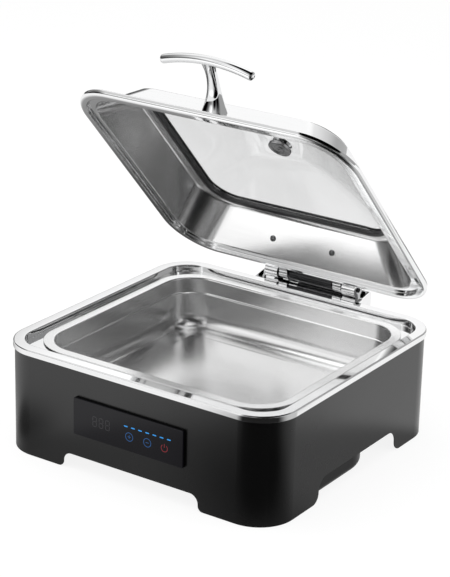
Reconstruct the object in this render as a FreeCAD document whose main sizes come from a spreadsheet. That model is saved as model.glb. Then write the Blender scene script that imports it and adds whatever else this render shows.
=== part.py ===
"""Countertop food warmer with a hinged glass lid, as an assembly of separate parts.

The warmer stands on the floor plane, z up, x to the right and y to the back.
The origin lies under the middle of the whole object as it stands with its lid
part open. Lengths are in millimetres and angles in degrees.
"""
import FreeCAD, Part
import math
import os
import re

import Sketcher
from FreeCAD import Placement, Rotation, Vector

# Driving sizes, each set by itself

SIZES = [
    # top frame and body shell
    ("frame_width", 397.0, "top frame, side to side"),
    ("frame_depth", 377.0, "top frame, front to back"),
    ("frame_corner", 49.0, "plan radius of the frame's corners"),
    ("frame_top", 138.2, "height of the frame's top face"),
    ("frame_skirt", 8.0, "height of the frame's outer skirt"),
    ("frame_sheet", 1.2, "sheet of the frame"),
    ("frame_flange", 14.3, "width of the frame's top face"),
    ("frame_edge_round", 2.0, "rounding of the frame's outer top edge"),
    ("ledge_drop", 8.6, "depth of the pan ledge below the frame's top"),
    ("skirt_gap", 0.8, "gap between the frame's skirt and the body"),
    ("body_sheet", 1.2, "sheet of the body shell"),
    ("body_flange", 10.5, "width of the body's inward top flange"),
    ("floor_gap", 0.5, "height of the body's lower edge above the floor"),
    ("front_notch_width", 195.6, "width of the front and rear foot openings"),
    ("front_notch_top", 20.0, "height of the front and rear foot openings"),
    ("front_notch_round", 11.5, "upper corners of the front and rear foot openings"),
    ("front_foot_round", 7.0, "lower corners of the feet at the front and the rear"),
    ("side_notch_width", 174.0, "width of the side foot openings"),
    ("side_notch_mid", 3.5, "distance of the side openings' middle behind the body's middle"),
    ("side_notch_top", 29.6, "height of the side foot openings"),
    ("side_notch_round", 16.0, "upper corners of the side foot openings"),
    ("side_foot_round", 12.0, "lower corners of the feet at the sides"),
    ("gusset_reach", 52.0, "reach of the corner plates that carry the rubber feet"),
    ("gusset_sheet", 1.5, "sheet of the corner plates"),
    ("rubber_height", 5.0, "height of the rubber feet"),
    ("rubber_radius", 14.0, "radius of the rubber feet"),
    ("rubber_inset", 30.0, "distance of the rubber feet from the body's sides"),
    # pans
    ("pan_mid", 3.0, "distance of the pans' middle behind the body's middle"),
    ("pan_width", 354.0, "food pan rim, side to side"),
    ("pan_depth", 326.0, "food pan rim, front to back"),
    ("pan_rim_corner", 53.0, "plan radius of the food pan rim"),
    ("pan_rim_band", 12.8, "width of the food pan rim"),
    ("pan_corner", 42.0, "plan radius of the food pan opening"),
    ("pan_sheet", 1.0, "sheet of the food pan"),
    ("pan_inner_depth", 65.0, "depth inside the food pan"),
    ("pan_shoulder_drop", 20.0, "depth of the stacking shoulder"),
    ("pan_shoulder_step", 1.8, "width of the stacking shoulder"),
    ("pan_taper", 3.5, "how far the lower wall leans in"),
    ("pan_floor_round", 20.0, "rounding between the wall and the floor of the pan"),
    ("pan_seat_gap", 0.2, "clearance under the food pan rim"),
    ("bath_gap", 2.2, "space between the food pan and the water pan at the top"),
    ("bath_sheet", 1.0, "sheet of the water pan"),
    ("bath_flange", 7.6, "width of the water pan flange"),
    ("bath_floor", 50.0, "height of the underside of the water pan"),
    ("bath_floor_round", 12.0, "rounding at the floor of the water pan"),
    ("ledge_gap", 0.8, "gap between the frame's ledge and the water pan"),
    # heater, base plate and bottom tray
    ("base_plate_top", 32.4, "height of the top of the base plate"),
    ("base_plate_sheet", 1.2, "sheet of the base plate"),
    ("base_plate_lip", 10.0, "height of the base plate's turned up edge"),
    ("base_plate_gap", 0.1, "gap between the base plate and the body"),
    ("tray_side_gap", 3.3, "gap between the bottom tray and the body's sides"),
    ("tray_front", 136.0, "reach of the bottom tray to the front"),
    ("tray_back", 60.0, "reach of the bottom tray to the back"),
    ("tray_corner", 60.0, "plan radius of the tray's rear corners"),
    ("tray_front_corner", 34.0, "plan radius of the tray's front corners"),
    ("tray_bottom", 6.5, "height of the underside of the bottom tray"),
    ("tray_sheet", 1.5, "sheet of the bottom tray"),
    ("tray_round", 8.0, "lower edge rounding of the bottom tray"),
    ("tray_post_radius", 5.0, "radius of the tray's screw posts"),
    ("tray_post_inset", 60.0, "distance of the tray's screw posts from its edge"),
    ("tray_screw_radius", 2.0, "radius of the tray screws"),
    ("tray_head_radius", 4.0, "radius of the tray screw heads"),
    ("tray_head_height", 2.2, "height of the tray screw heads"),
    ("heater_width", 220.0, "heater plate, side to side"),
    ("heater_depth", 200.0, "heater plate, front to back"),
    ("heater_corner", 24.0, "plan radius of the heater plate"),
    ("heater_thick", 6.0, "thickness of the heater plate"),
    ("heater_post_radius", 5.0, "radius of the posts under the heater plate"),
    ("heater_post_inset", 14.0, "distance of the posts from the heater plate's edge"),
    ("element_radius", 3.2, "radius of the tubular heating element"),
    ("element_width", 150.0, "heating element loop, side to side"),
    ("element_depth", 120.0, "heating element loop, front to back"),
    ("element_bend", 30.0, "bend radius of the heating element"),
    ("element_leg_gap", 40.0, "distance between the two ends of the element"),
    ("element_leg", 14.0, "length of the ends of the element"),
    ("element_gap", 0.3, "gap between the element and its neighbours"),
    ("insulation_thick", 4.0, "thickness of the insulation board"),
    ("insulation_width", 182.0, "insulation board, side to side"),
    ("insulation_depth", 160.0, "insulation board, front to back"),
    ("cutout_radius", 9.0, "radius of the thermal cut-out"),
    ("cutout_gap", 0.3, "gap above the thermal cut-out"),
    ("sensor_radius", 3.0, "radius of the temperature sensor"),
    ("sensor_length", 40.0, "length of the temperature sensor"),
    # power board in the tray
    ("board_width", 120.0, "power board, side to side"),
    ("board_depth", 80.0, "power board, front to back"),
    ("board_thick", 1.6, "thickness of the circuit boards"),
    ("board_back", 40.0, "distance of the power board's front edge from the tray's front"),
    ("standoff_height", 4.0, "height of the power board's standoffs"),
    ("standoff_radius", 3.5, "radius of the standoffs"),
    ("standoff_inset", 6.0, "distance of the standoffs from the board's edge"),
    ("transformer_size", 30.0, "side of the transformer"),
    ("transformer_height", 12.0, "height of the transformer"),
    ("relay_width", 20.0, "width of the relay"),
    ("relay_depth", 28.0, "depth of the relay"),
    ("relay_height", 11.0, "height of the relay"),
    ("terminal_width", 44.0, "width of the terminal block"),
    ("terminal_depth", 12.0, "depth of the terminal block"),
    ("terminal_height", 10.0, "height of the terminal block"),
    # control panel
    ("panel_width", 158.0, "control panel, side to side"),
    ("panel_height", 46.7, "control panel, top to bottom"),
    ("panel_middle", 73.6, "height of the control panel's middle"),
    ("panel_proud", 4.5, "how far the control panel stands off the body"),
    ("panel_glass_thick", 2.0, "thickness of the panel glass"),
    ("panel_glass_corner", 1.5, "corner radius of the panel"),
    ("panel_back_width", 140.0, "part of the panel that goes through the body"),
    ("panel_back_height", 34.0, "height of the part that goes through the body"),
    ("panel_back_reach", 10.0, "how far the panel reaches behind the body's face"),
    ("panel_wall", 2.5, "wall of the panel housing"),
    ("panel_hole_gap", 0.4, "gap around the panel in the body's opening"),
    ("panel_board_gap", 1.0, "gap between the panel wall and its board"),
    ("glass_gap", 0.3, "gap between the panel glass and what lies behind it"),
    ("digits_mid", -38.0, "middle of the digits across the panel"),
    ("digits_width", 31.0, "width of the digit display"),
    ("digits_height", 17.0, "height of the digit display"),
    ("lights_mid", 28.55, "middle of the row of lights"),
    ("lights_pitch", 10.22, "pitch of the lights"),
    ("lights_count", 7, "number of lights"),
    ("lights_level", 7.35, "height of the lights above the panel's middle"),
    ("light_width", 6.0, "width of one light"),
    ("light_height", 2.2, "height of one light"),
    ("key_radius", 5.0, "radius of a touch key's sensor"),
    ("key_drop", 4.9, "distance of the keys below the panel's middle"),
    ("key_plus", 2.8, "place of the raising key across the panel"),
    ("key_minus", 28.7, "place of the lowering key across the panel"),
    ("key_power", 53.0, "place of the power key across the panel"),
    # power inlet at the back
    ("inlet_side", 76.5, "distance of the power inlet's middle from the left side of the body"),
    ("inlet_level", 66.0, "height of the power inlet's middle"),
    ("inlet_width", 50.0, "width of the inlet's flange"),
    ("inlet_height", 28.0, "height of the inlet's flange"),
    ("inlet_flange", 2.5, "thickness of the inlet's flange"),
    ("inlet_body_width", 30.0, "width of the inlet's body"),
    ("inlet_body_height", 22.0, "height of the inlet's body"),
    ("inlet_depth", 19.0, "depth of the inlet's body"),
    ("inlet_wall", 2.0, "wall of the inlet's body"),
    ("inlet_gap", 0.3, "gap around the inlet in the body's opening"),
    ("inlet_pin", 4.0, "size of an inlet pin"),
    ("inlet_pin_pitch", 7.0, "pitch of the inlet pins"),
    ("inlet_pin_length", 12.0, "length of the inlet pins"),
    # hinge on the body
    ("hinge_back", 205.5, "distance of the hinge line behind the body's middle"),
    ("hinge_level", 146.4, "height of the hinge line"),
    ("open_angle", 47.08, "how far the lid stands open"),
    ("pin_radius", 3.0, "radius of the hinge pin"),
    ("pin_fit", 0.05, "running clearance on the hinge pin"),
    ("pin_end", 1.5, "how far the pin stands out of its barrels"),
    ("housing_width", 159.0, "hinge housing, side to side"),
    ("housing_reach", 219.5, "reach of the hinge housing to the back"),
    ("housing_bottom", 108.0, "height of the bottom of the hinge housing"),
    ("housing_front_level", 137.0, "height of the housing's ends at the front"),
    ("housing_back_level", 143.0, "height of the housing's ends at the back"),
    ("housing_deck", 133.5, "height of the plate in the hinge housing"),
    ("housing_sheet", 1.5, "sheet of the hinge housing"),
    ("housing_gap", 0.4, "gap between the frame's skirt and the hinge housing"),
    ("bolt_radius", 2.5, "radius of the housing bolts"),
    ("bolt_head_radius", 4.5, "radius of the housing bolt heads"),
    ("bolt_head_height", 3.0, "height of the housing bolt heads"),
    ("bolt_spread", 50.0, "distance of the housing bolts from the middle"),
    ("bolt_level", 116.0, "height of the housing bolts"),
    ("barrel_radius", 10.0, "radius of the hinge barrels"),
    ("barrel_length", 19.0, "length of a hinge barrel"),
    ("barrel_gap", 2.3, "gap between an arm and the barrel beside it"),
    ("barrel_foot", 12.0, "width of a barrel's foot, front to back"),
    ("damper_radius", 7.0, "radius of the closing damper on the pin"),
    ("damper_gap", 2.7, "gap between an arm and the damper"),
    # hinge arms on the lid
    ("arm_spread", 40.7, "distance of a hinge arm from the middle"),
    ("arm_width", 12.2, "width of a hinge arm"),
    ("arm_radius", 8.0, "radius of the arm's eye"),
    ("arm_foot_width", 22.0, "width of the arm's foot on the lid"),
    ("arm_thick", 5.0, "thickness of the arm's foot"),
    ("arm_foot_low", 14.0, "height above the rim where the foot starts"),
    ("arm_foot_high", 36.0, "height above the rim where the foot ends"),
    ("arm_gap", 0.6, "gap between the arm and the lid's rim"),
    ("lid_screw_spread", 44.3, "distance of the lid screws from the middle"),
    ("lid_screw_level", 23.7, "height of the lid screws above the rim"),
    ("lid_screw_radius", 2.0, "radius of the lid screws"),
    ("lid_screw_length", 5.2, "length of the lid screws"),
    ("lid_head_radius", 4.0, "radius of the lid screw heads"),
    ("lid_head_height", 2.2, "height of the lid screw heads"),
    ("screw_gap", 0.15, "clearance around a screw in its hole"),
    # lid shell
    ("lid_width", 390.0, "lid rim, side to side"),
    ("lid_depth", 367.0, "lid rim, front to back"),
    ("lid_corner", 63.0, "plan radius of the lid rim"),
    ("lid_gap", 0.3, "gap between the closed lid and the frame"),
    ("bead_width", 10.5, "width of the rolled rim"),
    ("bead_height", 8.0, "height of the rolled rim"),
    ("bead_round", 5.6, "lower outer rounding of the rolled rim"),
    ("bead_top_round", 2.0, "upper outer rounding of the rolled rim"),
    ("mouth_width", 348.5, "opening at the lid's rim, side to side"),
    ("mouth_depth", 325.9, "opening at the lid's rim, front to back"),
    ("mouth_corner", 44.0, "plan radius of the lid's opening"),
    ("mouth_level", 4.3, "height of the rim's inner flange"),
    ("lid_sheet", 1.0, "sheet of the lid"),
    ("dome_height", 47.4, "height of the lid's metal top above its rim"),
    ("dome_width", 297.4, "lid's metal top, side to side"),
    ("dome_depth", 266.6, "lid's metal top, front to back"),
    ("dome_shift", 6.55, "distance of the lid's metal top in front of its middle"),
    ("dome_corner", 48.0, "plan radius of the lid's metal top"),
    ("dome_round", 8.0, "rounding of the lid's upper edge"),
    # window
    ("gasket_width", 271.3, "window gasket, side to side"),
    ("gasket_depth", 239.5, "window gasket, front to back"),
    ("gasket_corner", 40.0, "plan radius of the window gasket"),
    ("gasket_band", 6.15, "width of the gasket round the window"),
    ("gasket_lip", 2.2, "overlap of the gasket on the lid's sheet"),
    ("gasket_lip_thick", 1.2, "thickness of the gasket's lower lip"),
    ("gasket_rise", 3.3, "height of the gasket under the glass"),
    ("gasket_groove", 4.1, "how deep the glass sits in the gasket"),
    ("gasket_top_lip", 1.5, "thickness of the gasket's upper lip"),
    ("gasket_top_band", 6.0, "width of the gasket's upper lip"),
    ("glass_thick", 4.0, "thickness of the window glass"),
    ("glass_crown", 28.0, "rise of the domed glass"),
    ("glass_flat", 0.18, "share of the window that is flat at the crown"),
    ("vent_bore", 4.0, "radius of the vent's neck"),
    ("vent_hole", 1.6, "radius of the vent's steam hole"),
    ("vent_gap", 0.4, "clearance of the vent's neck in the glass"),
    ("vent_cap_radius", 13.0, "radius of the vent's outer cap"),
    ("vent_cap_height", 5.0, "height of the vent's outer cap"),
    ("vent_nut_radius", 15.0, "radius of the vent's inner disc"),
    ("vent_nut_height", 5.0, "height of the vent's inner disc"),
    # handle
    ("stem_level", 22.05, "height of the stem's foot above the rim"),
    ("stem_length", 68.9, "length from the lid to the middle of the bar"),
    ("stem_foot_width", 32.0, "width of the stem's foot"),
    ("stem_foot_height", 27.0, "height of the stem's foot"),
    ("stem_waist_width", 13.6, "width of the stem's waist"),
    ("stem_waist_height", 11.0, "height of the stem's waist"),
    ("stem_head_width", 19.0, "width of the stem's head"),
    ("stem_head_height", 12.0, "height of the stem's head"),
    ("stem_waist_place", 0.70, "place of the waist along the stem"),
    ("stem_bow", 6.5, "how far the stem is bowed to the back"),
    ("bar_radius", 5.5, "radius of the handle bar"),
    ("bar_length", 129.0, "span of the handle bar"),
    ("bar_bow", 9.4, "how far the handle bar is bowed"),
    ("bar_lean", 38.1, "lean of the bow"),
    ("bar_end_round", 3.5, "rounding of the ends of the bar"),
    ("bar_fit", 0.25, "gap between the bar and its seat in the stem"),
    ("handle_screw_radius", 2.5, "radius of the handle screw"),
    ("handle_screw_length", 10.0, "length of the handle screw in the stem"),
    ("handle_head_radius", 5.5, "radius of the handle screw's head"),
    ("handle_head_height", 3.0, "height of the handle screw's head"),
]

# Places and sizes that follow from the driving ones

PLACES = [
    ("body_width", "frame_width - 2*frame_sheet - 2*skirt_gap"),
    ("body_depth", "frame_depth - 2*frame_sheet - 2*skirt_gap"),
    ("body_corner", "frame_corner - frame_sheet - skirt_gap"),
    ("body_top", "frame_top - frame_sheet"),
    ("body_mid", "(body_depth/2 + panel_proud - housing_reach)/2"),
    ("skirt_bottom", "frame_top - frame_skirt"),
    ("ledge_top", "frame_top - ledge_drop"),
    ("well_width", "frame_width - 2*frame_flange"),
    ("well_depth", "frame_depth - 2*frame_flange"),
    ("well_corner", "frame_corner - frame_flange"),
    ("pan_mouth_width", "pan_width - 2*pan_rim_band"),
    ("pan_mouth_depth", "pan_depth - 2*pan_rim_band"),
    ("pan_seat", "ledge_top + bath_sheet + pan_seat_gap"),
    ("pan_rim_top", "pan_seat + pan_sheet"),
    ("pan_shoulder", "pan_rim_top - pan_shoulder_drop"),
    ("pan_floor", "pan_rim_top - pan_inner_depth"),
    ("bath_width", "pan_mouth_width + 2*pan_sheet + 2*bath_gap"),
    ("bath_depth", "pan_mouth_depth + 2*pan_sheet + 2*bath_gap"),
    ("bath_corner", "pan_corner + pan_sheet + bath_gap"),
    ("ledge_width", "bath_width + 2*bath_sheet + 2*ledge_gap"),
    ("ledge_depth", "bath_depth + 2*bath_sheet + 2*ledge_gap"),
    ("ledge_corner", "bath_corner + bath_sheet + ledge_gap"),
    ("base_plate_bottom", "base_plate_top - base_plate_sheet"),
    ("heater_bottom", "bath_floor - heater_thick"),
    ("element_level", "heater_bottom - element_gap - element_radius"),
    ("tray_width", "body_width - 2*body_sheet - 2*tray_side_gap"),
    ("tray_floor", "tray_bottom + tray_sheet"),
    ("tray_mid", "(tray_back - tray_front)/2"),
    ("tray_length", "tray_front + tray_back"),
    ("board_level", "tray_floor + standoff_height"),
    ("board_top", "board_level + board_thick"),
    ("board_mid", "board_back + board_depth/2 - tray_front"),
    ("panel_face", "-body_depth/2 - panel_proud"),
    ("panel_seat", "panel_face + panel_glass_thick"),
    ("panel_inside", "-body_depth/2 + panel_back_reach - panel_wall"),
    ("inlet_mid", "inlet_side - body_width/2"),
    ("lid_mid", "-hinge_back"),
    ("rim_level", "frame_top + lid_gap - hinge_level"),
    ("mouth_under", "rim_level + mouth_level"),
    ("dome_top", "rim_level + dome_height"),
    ("dome_mid", "lid_mid - dome_shift"),
    ("wall_rise", "dome_height - mouth_level"),
    ("side_run", "mouth_width/2 + lid_sheet - dome_width/2"),
    ("rear_run", "mouth_depth/2 + lid_sheet - dome_depth/2 + dome_shift"),
    ("front_run", "mouth_depth/2 + lid_sheet - dome_depth/2 - dome_shift"),
    ("glass_seat", "dome_top + gasket_rise"),
    ("sight_width", "gasket_width - 2*gasket_band"),
    ("sight_depth", "gasket_depth - 2*gasket_band"),
    ("sight_corner", "gasket_corner - gasket_band"),
    ("glass_inside", "glass_seat + glass_crown"),
    ("glass_outside", "glass_inside + glass_thick"),
    ("stem_foot_y", "lid_mid - mouth_depth/2 - lid_sheet"
                    " + (stem_level - mouth_level)*front_run/wall_rise"),
    ("stem_foot_z", "rim_level + stem_level"),
    ("bar_sweep", "((bar_length/2)^2 + bar_bow^2)/(2*bar_bow)"),
    ("barrel_mid", "arm_spread + arm_width/2 + barrel_gap + barrel_length/2"),
    ("damper_length", "2*(arm_spread - arm_width/2 - damper_gap)"),
]

SLOPES = [
    ("pan_lean", "atan(pan_taper/(pan_shoulder - pan_floor))/1 deg"),
    ("rear_slope", "atan(wall_rise/rear_run)/1 deg"),
    ("front_slope", "atan(wall_rise/front_run)/1 deg"),
    ("bar_half_turn", "asin(bar_length/2/bar_sweep)/1 deg"),
]

doc = FreeCAD.newDocument("food_warmer")
sizes = doc.addObject("Spreadsheet::Sheet", "Sizes")
places = doc.addObject("Spreadsheet::Sheet", "Places")
size_names = {name for name, _, _ in SIZES}
place_names = {name for name, _ in PLACES + SLOPES}
word = re.compile(r"[a-z][a-z_]*")


def bind(text):
    """Turn words of an expression into references to the two sheets."""
    def reference(match):
        name = match.group()
        if name in size_names:
            return "Sizes." + name
        if name in place_names:
            return "Places." + name
        return name
    return word.sub(reference, str(text))


def value(text):
    """Worth of an expression, in millimetres or degrees."""
    result = places.evalExpression(bind(text))
    return float(getattr(result, "Value", result))


for row, (name, number, meaning) in enumerate(SIZES, start=1):
    sizes.set("A%d" % row, name)
    sizes.set("B%d" % row, str(number))
    sizes.setAlias("B%d" % row, name)
    sizes.set("C%d" % row, meaning)
doc.recompute()
for row, (name, text) in enumerate(PLACES + SLOPES, start=1):
    places.set("A%d" % row, name)
    places.set("B%d" % row, "=" + bind(text))
    places.setAlias("B%d" % row, name)
doc.recompute()

# Bodies and where they stand

nodes = []


def new_body(label):
    """An empty body that will be one sub-part."""
    body = doc.addObject("PartDesign::Body", "Body_" + label)
    body.Label = label
    nodes.append(body)
    return body


def on_base(label):
    """A body placed over the middle of the warmer's case."""
    body = new_body(label)
    body.setExpression("Placement.Base.y", bind("body_mid"))
    return body


def on_lid(label, x="0", y="0", z="0", tilt="0"):
    """A body placed from the hinge line and turned with the open lid."""
    body = new_body(label)
    body.Placement = Placement(Vector(0, 0, 0), Rotation(Vector(1, 0, 0), 1))
    turned_y = "(%s)*cos(open_angle) + (%s)*sin(open_angle)" % (y, z)
    turned_z = "(%s)*cos(open_angle) - (%s)*sin(open_angle)" % (z, y)
    body.setExpression("Placement.Base.x", bind(x))
    body.setExpression("Placement.Base.y", bind("body_mid + hinge_back + " + turned_y))
    body.setExpression("Placement.Base.z", bind("hinge_level + " + turned_z))
    body.setExpression("Placement.Rotation.Angle", bind("-open_angle + (%s)" % tilt))
    return body


# Sketches

SIDES = {"XY": "", "XZ": "-", "YZ": ""}


def new_sketch(body, plane, level):
    """A sketch across the given plane at a level along the axis square to it."""
    sketch = body.newObject("Sketcher::SketchObject", "Sketch")
    role = plane + "_Plane"
    datum = [f for f in body.Origin.OriginFeatures if f.Role == role][0]
    sketch.AttachmentSupport = (datum, [""])
    sketch.MapMode = "FlatFace"
    sketch.setExpression("AttachmentOffset.Base.z", bind("%s(%s)" % (SIDES[plane], level)))
    return sketch


def fix(sketch, kind, items, text):
    """A dimension of a sketch, bound to an expression."""
    index = sketch.addConstraint(Sketcher.Constraint(kind, *items, value(text)))
    name = "size%d" % index
    sketch.renameConstraint(index, name)
    sketch.setExpression("Constraints." + name, bind(text))


def pin_point(sketch, item, point, x, y):
    """Tie a point of a sketch to a place."""
    fix(sketch, "DistanceX", (-1, 1, item, point), x)
    fix(sketch, "DistanceY", (-1, 1, item, point), y)


def corner_arc(before, corner, after, radius):
    """Two tangent points, the centre and the turn of a rounded corner."""
    into = (corner - before).normalize()
    out = (after - corner).normalize()
    turn = into.x*out.y - into.y*out.x
    half = math.acos(max(-1.0, min(1.0, into.dot(out))))/2
    reach = radius*math.tan(half)
    first = corner - into*reach
    last = corner + out*reach
    side = Vector(-into.y, into.x, 0) if turn > 0 else Vector(into.y, -into.x, 0)
    return first, last, first + side*radius, turn > 0


def outline(sketch, corners):
    """A closed outline through corners (x, y) or rounded corners (x, y, radius)."""
    spots = [Vector(value(c[0]), value(c[1]), 0) for c in corners]
    count = len(corners)
    ends = []
    for i, corner in enumerate(corners):
        if len(corner) == 2:
            ends.append((spots[i], spots[i], None, None))
            continue
        before = spots[i - 1]
        after = spots[(i + 1) % count]
        ends.append(corner_arc(before, spots[i], after, value(corner[2])))
    lines = []
    for i in range(count):
        start = ends[i][1]
        end = ends[(i + 1) % count][0]
        lines.append(sketch.addGeometry(Part.LineSegment(start, end), False))
    for i, corner in enumerate(corners):
        before = lines[i - 1]
        after = lines[i]
        if len(corner) == 2:
            sketch.addConstraint(Sketcher.Constraint("Coincident", before, 2, after, 1))
            pin_point(sketch, after, 1, corner[0], corner[1])
            continue
        first, last, centre, left = ends[i]
        low, high = (first, last) if left else (last, first)
        start = math.atan2(low.y - centre.y, low.x - centre.x)
        stop = math.atan2(high.y - centre.y, high.x - centre.x)
        if stop < start:
            stop += 2*math.pi
        circle = Part.Circle(centre, Vector(0, 0, 1), (first - centre).Length)
        arc = sketch.addGeometry(Part.ArcOfCircle(circle, start, stop), False)
        mark = sketch.addGeometry(Part.Point(spots[i]), True)
        joint, other = (1, 2) if left else (2, 1)
        sketch.addConstraint(Sketcher.Constraint("Tangent", before, 2, arc, joint))
        sketch.addConstraint(Sketcher.Constraint("Tangent", after, 1, arc, other))
        fix(sketch, "Radius", (arc,), corner[2])
        pin_point(sketch, mark, 1, corner[0], corner[1])
        sketch.addConstraint(Sketcher.Constraint("PointOnObject", mark, 1, before))
        sketch.addConstraint(Sketcher.Constraint("PointOnObject", mark, 1, after))
    return sketch


def rectangle(sketch, width, height, radius=None, x="0", y="0"):
    """A rectangle about a middle point, with rounded corners if a radius is given."""
    corners = []
    for across, up in ((-1, -1), (1, -1), (1, 1), (-1, 1)):
        corner = ("%s + %d*(%s)/2" % (x, across, width), "%s + %d*(%s)/2" % (y, up, height))
        corners.append(corner if radius is None else corner + (radius,))
    return outline(sketch, corners)


def ring_of(sketch, radius, x="0", y="0"):
    """A circle about a middle point."""
    centre = Vector(value(x), value(y), 0)
    circle = sketch.addGeometry(Part.Circle(centre, Vector(0, 0, 1), value(radius)), False)
    fix(sketch, "Radius", (circle,), radius)
    pin_point(sketch, circle, 3, x, y)
    return sketch


# Features


def finish(body, feature):
    """Make a feature the body's last one and work the body out."""
    body.Tip = feature
    doc.recompute()
    return feature


def pad(body, sketch, length, both_ways=False, taper=None, down=False):
    """Material from a sketch along the axis square to it."""
    feature = body.newObject("PartDesign::Pad", "Pad")
    feature.Profile = (sketch, [""])
    feature.setExpression("Length", bind(length))
    feature.Midplane = both_ways
    feature.Reversed = down
    if taper:
        feature.setExpression("TaperAngle", bind(taper))
    return finish(body, feature)


def pocket(body, sketch, length, both_ways=False, taper=None, down=False):
    """A cut from a sketch, the same way as a pad goes."""
    before = body.Shape.Volume
    faces = len(body.Shape.Faces)
    feature = body.newObject("PartDesign::Pocket", "Pocket")
    feature.Profile = (sketch, [""])
    feature.setExpression("Length", bind(length))
    feature.Midplane = both_ways
    feature.Reversed = not both_ways and not down
    if taper:
        feature.setExpression("TaperAngle", bind(taper))
    finish(body, feature)
    if body.Shape.Volume > before - 1e-6 and len(body.Shape.Faces) == faces:
        raise ValueError("%s: a pocket cuts nothing" % body.Label)
    return feature


def loft(body, sections, cut=False, ruled=True):
    """Material, or a cut, from one section to the next."""
    before = body.Shape.Volume if cut else 0.0
    kind = "PartDesign::SubtractiveLoft" if cut else "PartDesign::AdditiveLoft"
    feature = body.newObject(kind, "Loft")
    feature.Profile = (sections[0], [""])
    feature.Sections = [(section, [""]) for section in sections[1:]]
    feature.Ruled = ruled
    finish(body, feature)
    if cut and not body.Shape.Volume < before - 1e-6:
        raise ValueError("%s: a loft cuts nothing" % body.Label)
    return feature


def round_edges(body, radius, chosen, kind="PartDesign::Fillet"):
    """Round, or chamfer, the edges for which chosen(edge) holds."""
    base = body.Tip
    names = ["Edge%d" % (i + 1) for i, edge in enumerate(base.Shape.Edges) if chosen(edge)]
    if not names:
        raise ValueError("%s: no edge to round" % body.Label)
    feature = body.newObject(kind, "Round")
    feature.Base = (base, names)
    feature.setExpression("Radius" if kind.endswith("Fillet") else "Size", bind(radius))
    before = body.Shape.Volume
    finish(body, feature)
    if abs(body.Shape.Volume - before) > 0.55*before or len(body.Shape.Solids) != 1:
        raise ValueError("%s: a rounding spoils the solid" % body.Label)
    return feature


def at_level(level):
    """A test for edges that lie at a level."""
    height = value(level)

    def chosen(edge):
        first, last = edge.ParameterRange
        marks = (first, (first + last)/2, last)
        return all(abs(edge.valueAt(mark).z - height) < 0.01 for mark in marks)
    return chosen


def slab(body, width, depth, radius, bottom, height, y="0", x="0"):
    """A flat piece with rounded corners, from its bottom up."""
    sketch = new_sketch(body, "XY", bottom)
    return pad(body, rectangle(sketch, width, depth, radius, x, y), height)


def slab_cut(body, width, depth, radius, bottom, height, y="0", x="0"):
    """A cut with rounded corners, from its bottom up."""
    sketch = new_sketch(body, "XY", bottom)
    return pocket(body, rectangle(sketch, width, depth, radius, x, y), height)


def disc(body, radius, bottom, height, x="0", y="0"):
    """A round piece from its bottom up."""
    return pad(body, ring_of(new_sketch(body, "XY", bottom), radius, x, y), height)


def hole(body, radius, bottom, height, x="0", y="0"):
    """A round cut from its bottom up."""
    return pocket(body, ring_of(new_sketch(body, "XY", bottom), radius, x, y), height)


def block(body, width, depth, height, x="0", y="0", z="0"):
    """A box about a middle point in plan, standing on a level."""
    sketch = new_sketch(body, "XY", z)
    return pad(body, rectangle(sketch, width, depth, None, x, y), height)


# Case of the warmer


def make_body_shell():
    """Black outer case with feet formed by openings in its lower edge."""
    body = on_base("body_shell")
    height = "body_top - floor_gap"
    inner = ("body_width - 2*body_sheet", "body_depth - 2*body_sheet", "body_corner - body_sheet")
    slab(body, "body_width", "body_depth", "body_corner", "floor_gap", height)
    slab_cut(body, *inner, "floor_gap", height + " - body_sheet")
    slab_cut(body, "body_width - 2*body_flange", "body_depth - 2*body_flange",
             "body_corner - body_flange", "body_top - 2*body_sheet", "3*body_sheet")
    for plane, face, middle, reach in (
            ("XZ", "front", "0", "body_depth + 20"),
            ("YZ", "side", "side_notch_mid", "body_width + 20")):
        low_round = face + "_foot_round"
        top_round = face + "_notch_round"
        top = face + "_notch_top"
        left = "%s - %s_notch_width/2" % (middle, face)
        right = "%s + %s_notch_width/2" % (middle, face)
        far_left = "%s - 2*%s" % (left, low_round)
        far_right = "%s + 2*%s" % (right, low_round)
        sketch = new_sketch(body, plane, "0")
        outline(sketch, [
            (far_left, "floor_gap - 1"), (far_right, "floor_gap - 1"), (far_right, "floor_gap"),
            (right, "floor_gap", low_round), (right, top, top_round),
            (left, top, top_round), (left, "floor_gap", low_round), (far_left, "floor_gap")])
        pocket(body, sketch, reach, both_ways=True)
    for across, along in ((-1, -1), (1, -1), (1, 1), (-1, 1)):
        side_x = "%d*(body_width/2 - body_sheet)" % across
        side_y = "%d*(body_depth/2 - body_sheet)" % along
        near_x = "%d*(body_width/2 - body_sheet - gusset_reach)" % across
        near_y = "%d*(body_depth/2 - body_sheet - gusset_reach)" % along
        sketch = new_sketch(body, "XY", "rubber_height")
        outline(sketch, [
            (near_x, near_y), (side_x, near_y),
            (side_x, side_y, "body_corner - body_sheet"), (near_x, side_y)])
        pad(body, sketch, "gusset_sheet")
    sketch = new_sketch(body, "XZ", "-body_depth/2 + 2*body_sheet")
    rectangle(sketch, "panel_back_width + 2*panel_hole_gap", "panel_back_height + 2*panel_hole_gap",
              None, "0", "panel_middle")
    pocket(body, sketch, "4*body_sheet")
    sketch = new_sketch(body, "XZ", "body_depth/2 + 2*body_sheet")
    rectangle(sketch, "inlet_body_width + 2*inlet_gap", "inlet_body_height + 2*inlet_gap",
              None, "inlet_mid", "inlet_level")
    pocket(body, sketch, "4*body_sheet")
    for across in (-1, 1):
        sketch = new_sketch(body, "XZ", "body_depth/2 + 2*body_sheet")
        ring_of(sketch, "bolt_radius + screw_gap", "%d*bolt_spread" % across, "bolt_level")
        pocket(body, sketch, "4*body_sheet")
    return body


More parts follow.
